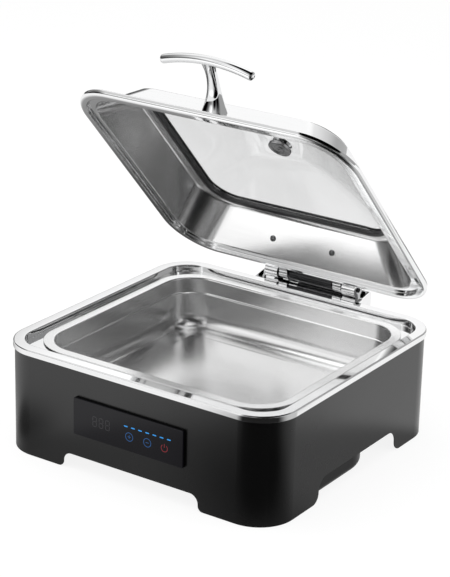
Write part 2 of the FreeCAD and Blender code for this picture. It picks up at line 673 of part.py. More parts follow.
def make_top_frame():
    """Polished frame with an outer skirt, a well and the ledge for the pans."""
    body = on_base("top_frame")
    slab(body, "frame_width", "frame_depth", "frame_corner", "skirt_bottom", "frame_skirt")
    slab_cut(body, "frame_width - 2*frame_sheet", "frame_depth - 2*frame_sheet",
             "frame_corner - frame_sheet", "skirt_bottom", "frame_skirt - frame_sheet")
    round_edges(body, "frame_edge_round", at_level("frame_top"))
    slab(body, "well_width + 2*frame_sheet", "well_depth + 2*frame_sheet", "well_corner + frame_sheet",
         "ledge_top - frame_sheet", "ledge_drop + frame_sheet")
    slab_cut(body, "well_width", "well_depth", "well_corner", "ledge_top", "ledge_drop + frame_sheet")
    slab_cut(body, "ledge_width", "ledge_depth", "ledge_corner", "ledge_top - 2*frame_sheet",
             "3*frame_sheet", "pan_mid")
    return body


def make_rubber_feet():
    """Four rubber feet under the corner plates."""
    for number, (across, along) in enumerate(((-1, -1), (1, -1), (1, 1), (-1, 1)), start=1):
        body = on_base("rubber_foot_%d" % number)
        disc(body, "rubber_radius", "0", "rubber_height",
             "%d*(body_width/2 - rubber_inset)" % across, "%d*(body_depth/2 - rubber_inset)" % along)


# Pans


def make_water_pan():
    """Water pan that hangs in the frame under the food pan."""
    body = on_base("water_pan")
    wall = ("bath_width + 2*bath_sheet", "bath_depth + 2*bath_sheet", "bath_corner + bath_sheet")
    slab(body, *wall, "bath_floor", "ledge_top + bath_sheet - bath_floor", "pan_mid")
    slab(body, "bath_width + 2*bath_flange", "bath_depth + 2*bath_flange", "bath_corner + bath_flange",
         "ledge_top", "bath_sheet", "pan_mid")
    slab_cut(body, "bath_width", "bath_depth", "bath_corner", "bath_floor + bath_sheet",
             "ledge_top - bath_floor + bath_sheet", "pan_mid")
    round_edges(body, "bath_floor_round - bath_sheet", at_level("bath_floor + bath_sheet"))
    round_edges(body, "bath_floor_round", at_level("bath_floor"))
    return body


def pan_section(body, shrink, level):
    """Plan of the food pan's opening, drawn in by shrink on every side."""
    sketch = new_sketch(body, "XY", level)
    return rectangle(sketch, "pan_mouth_width - 2*(%s)" % shrink, "pan_mouth_depth - 2*(%s)" % shrink,
                     "pan_corner - (%s)" % shrink, "0", "pan_mid")


def make_food_pan():
    """Lift-out food pan with a flat rim and a stacking shoulder."""
    body = on_base("food_pan")
    wall = "pan_shoulder - pan_floor"
    pad(body, pan_section(body, "pan_shoulder_step - pan_sheet", "pan_shoulder"), wall + " + pan_sheet",
        taper="-pan_lean", down=True)
    pad(body, pan_section(body, "-pan_sheet", "pan_shoulder - pan_sheet"),
        "pan_shoulder_drop + pan_sheet")
    slab(body, "pan_width", "pan_depth", "pan_rim_corner", "pan_seat", "pan_sheet", "pan_mid")
    pocket(body, pan_section(body, "0", "pan_shoulder"), "pan_shoulder_drop + pan_sheet")
    pocket(body, pan_section(body, "pan_shoulder_step", "pan_shoulder"), wall, taper="-pan_lean", down=True)
    round_edges(body, "pan_floor_round - pan_sheet", at_level("pan_floor"))
    round_edges(body, "pan_floor_round", at_level("pan_floor - pan_sheet"))
    return body


# Bottom of the case


def make_base_plate():
    """Plate across the case, with a turned up edge."""
    body = on_base("base_plate")
    loss = "2*body_sheet + 2*base_plate_gap"
    corner = "body_corner - body_sheet - base_plate_gap"
    slab(body, "body_width - (%s)" % loss, "body_depth - (%s)" % loss, corner,
         "base_plate_bottom", "base_plate_lip")
    slab_cut(body, "body_width - (%s) - 2*base_plate_sheet" % loss,
             "body_depth - (%s) - 2*base_plate_sheet" % loss, corner + " - base_plate_sheet",
             "base_plate_top", "base_plate_lip")
    for x, y in tray_posts():
        hole(body, "tray_screw_radius + screw_gap", "base_plate_bottom - 1", "base_plate_sheet + 2", x, y)
    return body


def tray_posts():
    """Places of the four screw posts of the bottom tray."""
    spots = []
    for across, along in ((-1, -1), (1, -1), (1, 1), (-1, 1)):
        x = "%d*(tray_width/2 - tray_post_inset)" % across
        y = "tray_mid + %d*(tray_length/2 - tray_post_inset)" % along
        spots.append((x, y))
    return spots


def board_posts():
    """Places of the four standoffs of the power board."""
    spots = []
    for across, along in ((-1, -1), (1, -1), (1, 1), (-1, 1)):
        x = "%d*(board_width/2 - standoff_inset)" % across
        y = "board_mid + %d*(board_depth/2 - standoff_inset)" % along
        spots.append((x, y))
    return spots


def tray_outline(body, shrink, level):
    """Plan of the bottom tray, drawn in by shrink on every side."""
    right = "tray_width/2 - (%s)" % shrink
    front = "-tray_front + (%s)" % shrink
    back = "tray_back - (%s)" % shrink
    front_corner = "tray_front_corner - (%s)" % shrink
    back_corner = "tray_corner - (%s)" % shrink
    return outline(new_sketch(body, "XY", level), [
        ("-(%s)" % right, front, front_corner), (right, front, front_corner),
        (right, back, back_corner), ("-(%s)" % right, back, back_corner)])


def make_bottom_tray():
    """Glossy tray under the front part, which holds the power board."""
    body = on_base("bottom_tray")
    depth = "base_plate_bottom - tray_bottom"
    pad(body, tray_outline(body, "0", "tray_bottom"), depth)
    pocket(body, tray_outline(body, "tray_sheet", "tray_floor"), depth)
    round_edges(body, "tray_round - tray_sheet", at_level("tray_floor"))
    round_edges(body, "tray_round", at_level("tray_bottom"))
    for x, y in tray_posts():
        disc(body, "tray_post_radius", "tray_floor - tray_sheet/2",
             "base_plate_bottom - tray_floor + tray_sheet/2", x, y)
    for x, y in board_posts():
        disc(body, "standoff_radius", "tray_floor - tray_sheet/2", "standoff_height + tray_sheet/2", x, y)
    for x, y in tray_posts():
        hole(body, "tray_screw_radius + screw_gap", "tray_bottom - 1",
             "base_plate_bottom - tray_bottom + 2", x, y)
    return body


def make_tray_screws():
    """Four screws that hold the bottom tray to the base plate."""
    for number, (x, y) in enumerate(tray_posts(), start=1):
        body = on_base("tray_screw_%d" % number)
        disc(body, "tray_head_radius", "tray_bottom - tray_head_height", "tray_head_height", x, y)
        disc(body, "tray_screw_radius", "tray_bottom - tray_head_height/2",
             "base_plate_top - tray_bottom + tray_head_height/2", x, y)


# Heater under the water pan


def heater_posts():
    """Places of the four posts under the heater plate."""
    spots = []
    for across, along in ((-1, -1), (1, -1), (1, 1), (-1, 1)):
        x = "%d*(heater_width/2 - heater_post_inset)" % across
        y = "pan_mid + %d*(heater_depth/2 - heater_post_inset)" % along
        spots.append((x, y))
    return spots


def make_heater():
    """Heater plate with its posts, element, insulation, cut-out and sensor."""
    plate = on_base("heater_plate")
    slab(plate, "heater_width", "heater_depth", "heater_corner", "heater_bottom", "heater_thick", "pan_mid")
    for number, (x, y) in enumerate(heater_posts(), start=1):
        post = on_base("heater_post_%d" % number)
        disc(post, "heater_post_radius", "base_plate_top", "heater_bottom - base_plate_top", x, y)
    board = on_base("heater_insulation")
    slab(board, "insulation_width", "insulation_depth", "heater_corner", "base_plate_top",
         "insulation_thick", "pan_mid")
    make_heating_element()
    cutout = on_base("thermal_cutout")
    foot = "base_plate_top + insulation_thick"
    disc(cutout, "cutout_radius", foot, "heater_bottom - cutout_gap - (%s)" % foot, "0", "pan_mid")
    sensor = on_base("temperature_sensor")
    place = "heater_width/2 + 3*sensor_radius"
    sketch = new_sketch(sensor, "XZ", "pan_mid + sensor_length/2")
    ring_of(sketch, "sensor_radius", place, "bath_floor - element_gap - sensor_radius")
    pad(sensor, sketch, "sensor_length")


def make_heating_element():
    """Tubular element bent into an open loop, with two straight ends."""
    body = on_base("heating_element")
    spine = new_sketch(body, "XY", "element_level")
    half = "element_width/2"
    front = "pan_mid - element_depth/2"
    back = "pan_mid + element_depth/2"
    leg = "element_leg_gap/2"
    end = "pan_mid + element_depth/2 + element_bend/2 + element_leg"
    open_path(spine, [
        (leg, end), (leg, back, "element_bend/3"), (half, back, "element_bend"),
        (half, front, "element_bend"), ("-" + half, front, "element_bend"),
        ("-" + half, back, "element_bend"), ("-" + leg, back, "element_bend/3"), ("-" + leg, end)])
    profile = new_sketch(body, "XZ", end)
    ring_of(profile, "element_radius", leg, "element_level")
    feature = body.newObject("PartDesign::AdditivePipe", "Pipe")
    feature.Profile = (profile, [""])
    feature.Spine = (spine, ["Edge%d" % (i + 1) for i in range(len(spine.Shape.Edges))])
    finish(body, feature)


def open_path(sketch, corners):
    """An open path with rounded corners, in drawing order."""
    spots = [Vector(value(c[0]), value(c[1]), 0) for c in corners]
    last = len(corners) - 1
    ends = [(spots[0], spots[0], None, None)]
    for i in range(1, last):
        ends.append(corner_arc(spots[i - 1], spots[i], spots[i + 1], value(corners[i][2])))
    ends.append((spots[last], spots[last], None, None))
    before = sketch.addGeometry(Part.LineSegment(ends[0][1], ends[1][0]), False)
    pin_point(sketch, before, 1, corners[0][0], corners[0][1])
    for i in range(1, last):
        first, final, centre, left = ends[i]
        low, high = (first, final) if left else (final, first)
        start = math.atan2(low.y - centre.y, low.x - centre.x)
        stop = math.atan2(high.y - centre.y, high.x - centre.x)
        if stop < start:
            stop += 2*math.pi
        circle = Part.Circle(centre, Vector(0, 0, 1), (first - centre).Length)
        arc = sketch.addGeometry(Part.ArcOfCircle(circle, start, stop), False)
        after = sketch.addGeometry(Part.LineSegment(final, ends[i + 1][0]), False)
        mark = sketch.addGeometry(Part.Point(spots[i]), True)
        joint, other = (1, 2) if left else (2, 1)
        sketch.addConstraint(Sketcher.Constraint("Tangent", before, 2, arc, joint))
        sketch.addConstraint(Sketcher.Constraint("Tangent", after, 1, arc, other))
        fix(sketch, "Radius", (arc,), corners[i][2])
        pin_point(sketch, mark, 1, corners[i][0], corners[i][1])
        sketch.addConstraint(Sketcher.Constraint("PointOnObject", mark, 1, before))
        sketch.addConstraint(Sketcher.Constraint("PointOnObject", mark, 1, after))
        before = after
    pin_point(sketch, before, 2, corners[last][0], corners[last][1])
    doc.recompute()
    return sketch


# Electronics


def make_power_board():
    """Power board in the tray with its transformer, relay and terminals."""
    board = on_base("power_board")
    block(board, "board_width", "board_depth", "board_thick", "0", "board_mid", "board_level")
    transformer = on_base("power_transformer")
    block(transformer, "transformer_size", "transformer_size", "transformer_height",
          "-board_width/4", "board_mid", "board_top")
    relay = on_base("power_relay")
    block(relay, "relay_width", "relay_depth", "relay_height", "board_width/5", "board_mid", "board_top")
    terminals = on_base("terminal_block")
    block(terminals, "terminal_width", "terminal_depth", "terminal_height", "0",
          "board_mid + board_depth/2 - terminal_depth", "board_top")


def make_control_panel():
    """Control panel: housing, glass, board, digits, lights and touch sensors."""
    housing = on_base("control_housing")
    rear = "-body_depth/2"
    sketch = new_sketch(housing, "XZ", rear)
    rectangle(sketch, "panel_width", "panel_height", "panel_glass_corner", "0", "panel_middle")
    pad(housing, sketch, "panel_proud - panel_glass_thick")
    sketch = new_sketch(housing, "XZ", rear + " + panel_back_reach")
    rectangle(sketch, "panel_back_width", "panel_back_height", None, "0", "panel_middle")
    pad(housing, sketch, "panel_back_reach")
    sketch = new_sketch(housing, "XZ", "panel_inside")
    rectangle(sketch, "panel_back_width - 2*panel_wall", "panel_back_height - 2*panel_wall", None,
              "0", "panel_middle")
    pocket(housing, sketch, "panel_inside - panel_seat + 1")

    glass = on_base("panel_glass")
    sketch = new_sketch(glass, "XZ", "panel_seat")
    rectangle(sketch, "panel_width", "panel_height", "panel_glass_corner", "0", "panel_middle")
    pad(glass, sketch, "panel_glass_thick")

    board = on_base("control_board")
    sketch = new_sketch(board, "XZ", "panel_inside - panel_board_gap/4")
    rectangle(sketch, "panel_back_width - 2*panel_wall - 2*panel_board_gap",
              "panel_back_height - 2*panel_wall - 2*panel_board_gap", None, "0", "panel_middle")
    pad(board, sketch, "board_thick")

    front = "panel_inside - panel_board_gap/4 - board_thick"
    depth = front + " - panel_seat - glass_gap"
    digits = on_base("digit_display")
    sketch = new_sketch(digits, "XZ", front)
    rectangle(sketch, "digits_width", "digits_height", None, "digits_mid", "panel_middle")
    pad(digits, sketch, depth)

    lights = on_base("light_row")
    sketch = new_sketch(lights, "XZ", front)
    rectangle(sketch, "(lights_count - 1)*lights_pitch + light_width", "light_height", None, "lights_mid",
              "panel_middle + lights_level")
    pad(lights, sketch, "(%s)/2" % depth)
    for number in range(int(value("lights_count"))):
        sketch = new_sketch(lights, "XZ", front)
        place = "lights_mid + (%d - (lights_count - 1)/2)*lights_pitch" % number
        rectangle(sketch, "light_width", "light_height", None, place, "panel_middle + lights_level")
        pad(lights, sketch, depth)

    for name in ("plus", "minus", "power"):
        key = on_base("touch_sensor_" + name)
        sketch = new_sketch(key, "XZ", front)
        ring_of(sketch, "key_radius", "key_" + name, "panel_middle - key_drop")
        pad(key, sketch, depth)


def make_power_inlet():
    """Inlet at the back for the supply lead."""
    body = on_base("power_inlet")
    face = "body_depth/2 + inlet_flange"
    sketch = new_sketch(body, "XZ", face)
    rectangle(sketch, "inlet_width", "inlet_height", "inlet_flange", "inlet_mid", "inlet_level")
    pad(body, sketch, "inlet_flange")
    sketch = new_sketch(body, "XZ", "body_depth/2")
    rectangle(sketch, "inlet_body_width", "inlet_body_height", None, "inlet_mid", "inlet_level")
    pad(body, sketch, "inlet_depth")
    sketch = new_sketch(body, "XZ", face)
    rectangle(sketch, "inlet_body_width - 2*inlet_wall", "inlet_body_height - 2*inlet_wall", None,
              "inlet_mid", "inlet_level")
    pocket(body, sketch, "inlet_depth + inlet_flange - inlet_wall")
    for column in (-1, 0, 1):
        sketch = new_sketch(body, "XZ", "body_depth/2 - inlet_depth + inlet_wall + inlet_pin_length")
        lift = "0" if column else "inlet_pin"
        rectangle(sketch, "inlet_pin/2", "inlet_pin", None, "inlet_mid + %d*inlet_pin_pitch" % column,
                  "inlet_level - inlet_pin/2 + " + lift)
        pad(body, sketch, "inlet_pin_length")


# Hinge on the body


def make_hinge_housing():
    """Polished sheet housing behind the case that carries the hinge line."""
    body = on_base("hinge_housing")
    wall = "body_depth/2"
    front = "frame_depth/2 + housing_gap"
    sketch = new_sketch(body, "YZ", "0")
    outline(sketch, [
        (wall, "housing_bottom"), ("housing_reach", "housing_bottom"),
        ("housing_reach", "housing_back_level"), (front, "housing_front_level"),
        (front, "skirt_bottom - housing_gap"), (wall, "skirt_bottom - housing_gap")])
    pad(body, sketch, "housing_width", both_ways=True)
    inside = "housing_width - 2*housing_sheet"
    back = "housing_reach - housing_sheet"
    sketch = new_sketch(body, "YZ", "0")
    outline(sketch, [
        (front + " - 1", "housing_deck"), (back, "housing_deck"),
        (back, "housing_back_level + 1"), (front + " - 1", "housing_back_level + 1")])
    pocket(body, sketch, inside, both_ways=True)
    inner_wall = wall + " + housing_sheet"
    inner_front = front + " + housing_sheet"
    under_deck = "housing_deck - housing_sheet"
    step = "skirt_bottom - housing_gap - housing_sheet"
    sketch = new_sketch(body, "YZ", "0")
    outline(sketch, [
        (inner_wall, "housing_bottom - 1"), (back, "housing_bottom - 1"), (back, under_deck),
        (inner_front, under_deck), (inner_front, step), (inner_wall, step)])
    pocket(body, sketch, inside, both_ways=True)
    for across in (-1, 1):
        sketch = new_sketch(body, "XZ", wall + " + 2*housing_sheet")
        ring_of(sketch, "bolt_radius + screw_gap", "%d*bolt_spread" % across, "bolt_level")
        pocket(body, sketch, "3*housing_sheet")
    return body


def make_housing_bolts():
    """Two bolts that hold the hinge housing to the case, with their nuts."""
    for name, across in (("left", -1), ("right", 1)):
        body = on_base("housing_bolt_" + name)
        x = "%d*bolt_spread" % across
        inside = "body_depth/2 - body_sheet"
        outside = "body_depth/2 + housing_sheet"
        for near, length, radius in (
                (outside + " + bolt_head_height", "bolt_head_height", "bolt_head_radius"),
                (outside, "body_sheet + housing_sheet", "bolt_radius"),
                (inside, "bolt_head_height", "bolt_head_radius")):
            sketch = new_sketch(body, "XZ", near)
            ring_of(sketch, radius, x, "bolt_level")
            pad(body, sketch, length)


def make_hinge_line():
    """Pin, damper and the two fixed barrels of the hinge."""
    pin = on_base("hinge_pin")
    sketch = new_sketch(pin, "YZ", "0")
    ring_of(sketch, "pin_radius", "hinge_back", "hinge_level")
    pad(pin, sketch, "2*barrel_mid + barrel_length + 2*pin_end", both_ways=True)

    damper = on_base("hinge_damper")
    sketch = new_sketch(damper, "YZ", "0")
    ring_of(sketch, "damper_radius", "hinge_back", "hinge_level")
    pad(damper, sketch, "damper_length", both_ways=True)
    sketch = new_sketch(damper, "YZ", "0")
    ring_of(sketch, "pin_radius + pin_fit", "hinge_back", "hinge_level")
    pocket(damper, sketch, "damper_length + 2", both_ways=True)

    for name, across in (("left", -1), ("right", 1)):
        barrel = on_base("hinge_barrel_" + name)
        start = "%d*barrel_mid - barrel_length/2" % across
        sketch = new_sketch(barrel, "YZ", start)
        ring_of(sketch, "barrel_radius", "hinge_back", "hinge_level")
        pad(barrel, sketch, "barrel_length")
        block(barrel, "barrel_length", "barrel_foot", "hinge_level - housing_deck",
              "%d*barrel_mid" % across, "hinge_back", "housing_deck")
        sketch = new_sketch(barrel, "YZ", start + " - 1")
        ring_of(sketch, "pin_radius + pin_fit", "hinge_back", "hinge_level")
        pocket(barrel, sketch, "barrel_length + 2")


# Lid


def lid_section(body, width, depth, corner, level, y="lid_mid"):
    """Plan section of the lid."""
    return rectangle(new_sketch(body, "XY", level), width, depth, corner, "0", y)


def make_lid_shell():
    """Polished lid: rolled rim, sloping walls and a flat top round the window."""
    body = on_lid("lid_shell")
    slab(body, "lid_width", "lid_depth", "lid_corner", "rim_level", "bead_height", "lid_mid")
    round_edges(body, "bead_round", at_level("rim_level"))
    round_edges(body, "bead_top_round", at_level("rim_level + bead_height"))
    slab_cut(body, "lid_width - 2*bead_width", "lid_depth - 2*bead_width", "lid_corner - bead_width",
             "rim_level - 1", "mouth_level + 1", "lid_mid")
    slab_cut(body, "mouth_width + 4*lid_sheet", "mouth_depth + 4*lid_sheet", "mouth_corner + 2*lid_sheet",
             "mouth_under + lid_sheet", "bead_height", "lid_mid")
    slab_cut(body, "mouth_width", "mouth_depth", "mouth_corner", "mouth_under - 1",
             "lid_sheet + 2", "lid_mid")
    dome = [lid_section(body, "mouth_width + 2*lid_sheet", "mouth_depth + 2*lid_sheet",
                        "mouth_corner + lid_sheet", "mouth_under"),
            lid_section(body, "dome_width", "dome_depth", "dome_corner", "dome_top", "dome_mid")]
    loft(body, dome)
    lean = "lid_sheet/wall_rise"
    inside = [lid_section(body, "mouth_width", "mouth_depth", "mouth_corner", "mouth_under"),
              lid_section(body, "dome_width - 2*lid_sheet + 2*side_run*%s" % lean,
                          "dome_depth - 2*lid_sheet + (rear_run + front_run)*%s" % lean,
                          "dome_corner - lid_sheet", "dome_top - lid_sheet",
                          "dome_mid + (rear_run - front_run)/2*%s" % lean)]
    loft(body, inside, cut=True)
    round_edges(body, "dome_round - lid_sheet", at_level("dome_top - lid_sheet"))
    round_edges(body, "dome_round", at_level("dome_top"))
    slab_cut(body, "gasket_width - 2*gasket_lip", "gasket_depth - 2*gasket_lip",
             "gasket_corner - gasket_lip", "dome_top - 2*lid_sheet", "3*lid_sheet", "lid_mid")
    for across in (-1, 1):
        wall_hole(body, "%d*lid_screw_spread" % across, "lid_mid + " + rear_wall("lid_screw_level"),
                  "rim_level + lid_screw_level", "-rear_slope", "lid_screw_radius + screw_gap", "4*lid_sheet")
    wall_hole(body, "0", "stem_foot_y", "stem_foot_z", "front_slope", "handle_screw_radius + screw_gap",
              "4*lid_sheet")
    return body


def rear_wall(level):
    """Distance of the outside of the lid's rear wall behind the lid's middle, at a height."""
    return "mouth_depth/2 + lid_sheet - ((%s) - mouth_level)*rear_run/wall_rise" % level


def wall_hole(body, x, y, z, tilt, radius, depth):
    """A hole square to a sloping wall of the lid."""
    sketch = new_sketch(body, "XY", z)
    sketch.AttachmentOffset = Placement(Vector(0, 0, 0), Rotation(Vector(1, 0, 0), 1))
    sketch.setExpression("AttachmentOffset.Base.y", bind(y))
    sketch.setExpression("AttachmentOffset.Base.z", bind(z))
    sketch.setExpression("AttachmentOffset.Rotation.Angle", bind(tilt))
    ring_of(sketch, radius, x, "0")
    pocket(body, sketch, "2*(%s)" % depth, both_ways=True)


def make_hinge_arms():
    """Two arms that join the lid's rear wall to the hinge line."""
    for name, across in (("left", -1), ("right", 1)):
        body = on_lid("hinge_arm_" + name)
        start = "%d*arm_spread - arm_width/2" % across
        sketch = new_sketch(body, "YZ", start)
        ring_of(sketch, "arm_radius")
        pad(body, sketch, "arm_width")
        low = "rim_level + bead_height + arm_gap"
        high = "rim_level + arm_foot_high"
        out = "arm_thick*sin(rear_slope)"
        up = "arm_thick*cos(rear_slope)"
        run = "arm_thick/sin(rear_slope)"
        wall_low = "lid_mid + " + rear_wall("bead_height + arm_gap")
        wall_mid = "lid_mid + " + rear_wall("arm_radius - rim_level")
        wall_high = "lid_mid + " + rear_wall("arm_foot_high")
        sketch = new_sketch(body, "YZ", start)
        outline(sketch, [
            ("0", "arm_radius"), (wall_mid + " + " + run, "arm_radius"),
            (wall_high + " + " + out, high + " + " + up), (wall_high, high), (wall_low, low),
            ("-2*arm_radius", low), ("-0.6*arm_radius", "-0.7*arm_radius")])
        pad(body, sketch, "arm_width")
        foot_low = "lid_mid + " + rear_wall("arm_foot_low")
        foot_level = "rim_level + arm_foot_low"
        sketch = new_sketch(body, "YZ", "%d*lid_screw_spread - arm_foot_width/2" % across)
        outline(sketch, [
            (foot_low, foot_level), (foot_low + " + " + out, foot_level + " + " + up),
            (wall_high + " + " + out, high + " + " + up), (wall_high, high)])
        pad(body, sketch, "arm_foot_width")
        sketch = new_sketch(body, "YZ", start + " - 1")
        ring_of(sketch, "pin_radius + pin_fit")
        pocket(body, sketch, "arm_width + 2")
        wall_hole(body, "%d*lid_screw_spread" % across, "lid_mid + " + rear_wall("lid_screw_level"),
                  "rim_level + lid_screw_level", "-rear_slope", "lid_screw_radius + screw_gap",
                  "lid_screw_length - lid_sheet + screw_gap")


def make_lid_screws():
    """Screws that hold the arms, with their heads inside the lid."""
    for name, across in (("left", -1), ("right", 1)):
        wall_y = "lid_mid + " + rear_wall("lid_screw_level")
        body = on_lid("lid_screw_" + name, "%d*lid_screw_spread" % across, wall_y,
                      "rim_level + lid_screw_level", "-rear_slope")
        disc(body, "lid_head_radius", "-lid_sheet - lid_head_height", "lid_head_height")
        disc(body, "lid_screw_radius", "-lid_sheet - lid_head_height/2",
             "lid_screw_length + lid_head_height/2")


def make_window():
    """Rubber gasket and domed glass of the window."""
    gasket = on_lid("window_gasket")
    under = "dome_top - lid_sheet"
    neck = ("gasket_width - 2*gasket_lip", "gasket_depth - 2*gasket_lip", "gasket_corner - gasket_lip")
    slab(gasket, "gasket_width", "gasket_depth", "gasket_corner", under + " - gasket_lip_thick",
         "gasket_lip_thick", "lid_mid")
    slab(gasket, *neck, under, "lid_sheet", "lid_mid")
    slab(gasket, "gasket_width + gasket_lip", "gasket_depth + gasket_lip", "gasket_corner + gasket_lip/2",
         "dome_top", "gasket_rise + glass_thick + gasket_top_lip", "lid_mid")
    slab_cut(gasket, "sight_width", "sight_depth", "sight_corner", under + " - gasket_lip_thick - 1",
             "gasket_lip_thick + lid_sheet + gasket_rise + 1 + glass_thick/2", "lid_mid")
    slab_cut(gasket, "sight_width + 2*gasket_groove", "sight_depth + 2*gasket_groove",
             "sight_corner + gasket_groove", "glass_seat", "glass_thick", "lid_mid")
    loss = "gasket_lip - 2*gasket_top_band"
    slab_cut(gasket, "gasket_width + %s" % loss, "gasket_depth + %s" % loss,
             "gasket_corner + (%s)/2" % loss, "glass_seat + glass_thick/2",
             "glass_thick + gasket_top_lip", "lid_mid")

    glass = on_lid("window_glass")
    slab(glass, "sight_width + 2*gasket_groove", "sight_depth + 2*gasket_groove",
         "sight_corner + gasket_groove", "glass_seat", "glass_thick", "lid_mid")
    loft(glass, glass_sections(glass, "glass_thick", "1"), ruled=False)
    loft(glass, glass_sections(glass, "0", "0"), cut=True, ruled=False)
    hole(glass, "vent_bore + vent_gap", "glass_inside - 1", "glass_thick + 2", "0", "lid_mid")


GLASS_STEPS = 5


def glass_sections(body, lift, grow):
    """Plan sections of the domed glass, from the seat to the flat crown."""
    sections = []
    for number in range(GLASS_STEPS + 1):
        part = "(glass_flat + (1 - glass_flat)*(1 - %d/%d))" % (number, GLASS_STEPS)
        rise = "glass_crown*(1 - (1 - %d/%d)^2)" % (number, GLASS_STEPS)
        sketch = new_sketch(body, "XY", "glass_seat + %s + %s" % (lift, rise))
        rectangle(sketch, "(sight_width + %s)*%s" % (grow, part), "(sight_depth + %s)*%s" % (grow, part),
                  "sight_corner*%s" % part, "0", "lid_mid")
        sections.append(sketch)
    return sections


def make_vent():
    """Steam vent: a cap with a neck outside and a disc inside the glass."""
    cap = on_lid("vent_cap")
    low = "glass_inside - vent_nut_height"
    neck = "glass_thick + vent_nut_height"
    disc(cap, "vent_cap_radius", "glass_outside", "vent_cap_height", "0", "lid_mid")
    disc(cap, "vent_bore", low, neck + " + 1", "0", "lid_mid")
    hole(cap, "vent_hole", low + " - 1", neck + " + vent_cap_height + 2", "0", "lid_mid")
    inner = on_lid("vent_disc")
    disc(inner, "vent_nut_radius", low, "vent_nut_height", "0", "lid_mid")
    hole(inner, "vent_bore + pin_fit", low + " - 1", "vent_nut_height + 2", "0", "lid_mid")


# Handle


def stem_section(body, share, width, height, corner):
    """Section of the bowed stem at a share of its length from the lid's front wall."""
    sketch = new_sketch(body, "XZ", "-(stem_length - bar_radius/2)*(%s)" % share)
    return rectangle(sketch, width, height, corner, "0", "4*stem_bow*(%s)*(1 - (%s))" % (share, share))


def make_handle():
    """Waisted stem on the lid's front wall, its screw and the bowed bar."""
    turn = "front_slope - 90"
    stem = on_lid("handle_stem", "0", "stem_foot_y", "stem_foot_z", turn)
    sections = [
        stem_section(stem, "0", "stem_foot_width", "stem_foot_height", "stem_foot_height*0.4"),
        stem_section(stem, "0.16", "(stem_foot_width + stem_waist_width)/2 + 3",
                     "(stem_foot_height + stem_waist_height)/2", "stem_waist_height*0.55"),
        stem_section(stem, "0.4", "stem_waist_width*0.65 + stem_foot_width*0.33",
                     "stem_waist_height*0.65 + stem_foot_height*0.25", "stem_waist_height*0.5"),
        stem_section(stem, "stem_waist_place", "stem_waist_width", "stem_waist_height",
                     "stem_waist_height*0.42"),
        stem_section(stem, "1", "stem_head_width", "stem_head_height", "stem_head_height*0.42")]
    loft(stem, sections, ruled=False)
    sketch = new_sketch(stem, "YZ", "0")
    ring_of(sketch, "bar_radius + bar_fit", "-stem_length", "0")
    pocket(stem, sketch, "2*stem_head_width", both_ways=True)
    sketch = new_sketch(stem, "XZ", "1")
    ring_of(sketch, "handle_screw_radius + screw_gap")
    pocket(stem, sketch, "handle_screw_length + 2")

    screw = on_lid("handle_screw", "0", "stem_foot_y", "stem_foot_z", turn)
    sketch = new_sketch(screw, "XZ", "lid_sheet + handle_head_height")
    ring_of(sketch, "handle_head_radius")
    pad(screw, sketch, "handle_head_height")
    sketch = new_sketch(screw, "XZ", "lid_sheet + handle_head_height/2")
    ring_of(sketch, "handle_screw_radius")
    pad(screw, sketch, "handle_screw_length + handle_head_height/2")

    bar_y = "stem_foot_y - stem_length*sin(front_slope)"
    bar_z = "stem_foot_z + stem_length*cos(front_slope)"
    bar = on_lid("handle_bar", "0", bar_y, bar_z, "-bar_lean")
    sketch = new_sketch(bar, "YZ", "0")
    ring_of(sketch, "bar_radius")
    feature = bar.newObject("PartDesign::Revolution", "Revolution")
    axis = new_sketch(bar, "YZ", "0")
    sweep = value("bar_sweep")
    line = axis.addGeometry(Part.LineSegment(Vector(sweep, -1, 0), Vector(sweep, 1, 0)), False)
    pin_point(axis, line, 1, "bar_sweep", "-1")
    pin_point(axis, line, 2, "bar_sweep", "1")
    feature.Profile = (sketch, [""])
    feature.ReferenceAxis = (axis, ["Edge1"])
    feature.setExpression("Angle", bind("2*bar_half_turn"))
    feature.Midplane = True
    finish(bar, feature)
    near_end = value("bar_length/2 - bar_radius")
    round_edges(bar, "bar_end_round",
                lambda edge: max(abs(edge.BoundBox.XMax), abs(edge.BoundBox.XMin)) > near_end)


def check_and_write():
    """Check every object and write each sub-part to its file."""
    doc.recompute()
    for item in doc.Objects:
        if "Invalid" in item.State or "Error" in item.State:
            raise ValueError("%s is in state %s" % (item.Label, item.State))
    for node in nodes:
        shape = node.Shape
        if shape.isNull() or not shape.isValid():
            raise ValueError("%s has no valid shape" % node.Label)
    os.makedirs("parts", exist_ok=True)
    for node in nodes:
        node.Shape.exportStep("parts/%s.step" % node.Label)
        print("%-22s solids %d volume %.0f" % (node.Label, len(node.Shape.Solids), node.Shape.Volume))
    print("%d sub-parts" % len(nodes))


make_body_shell()
make_top_frame()
make_rubber_feet()
make_water_pan()
make_food_pan()
make_base_plate()
make_bottom_tray()
make_tray_screws()
make_heater()
make_power_board()
make_control_panel()
make_power_inlet()
make_hinge_housing()
make_housing_bolts()
make_hinge_line()
make_lid_shell()
make_hinge_arms()
make_lid_screws()
make_window()
make_vent()
make_handle()
check_and_write()
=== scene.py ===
"""Looks of the countertop food warmer: finishes, fine surfaces, lamps and camera.

Shapes are worked out in millimetres with the middle of the case at y = 0, and are
then moved to the frame's own place in metres. Pieces of the lid are worked out as
on the closed lid, from the hinge line, and are turned with it.
"""

import logging
import math
from dataclasses import dataclass
from enum import Enum
from typing import ClassVar, Iterable, Mapping, Sequence

import bmesh
import bpy
import numpy as np
from mathutils import Matrix, Vector


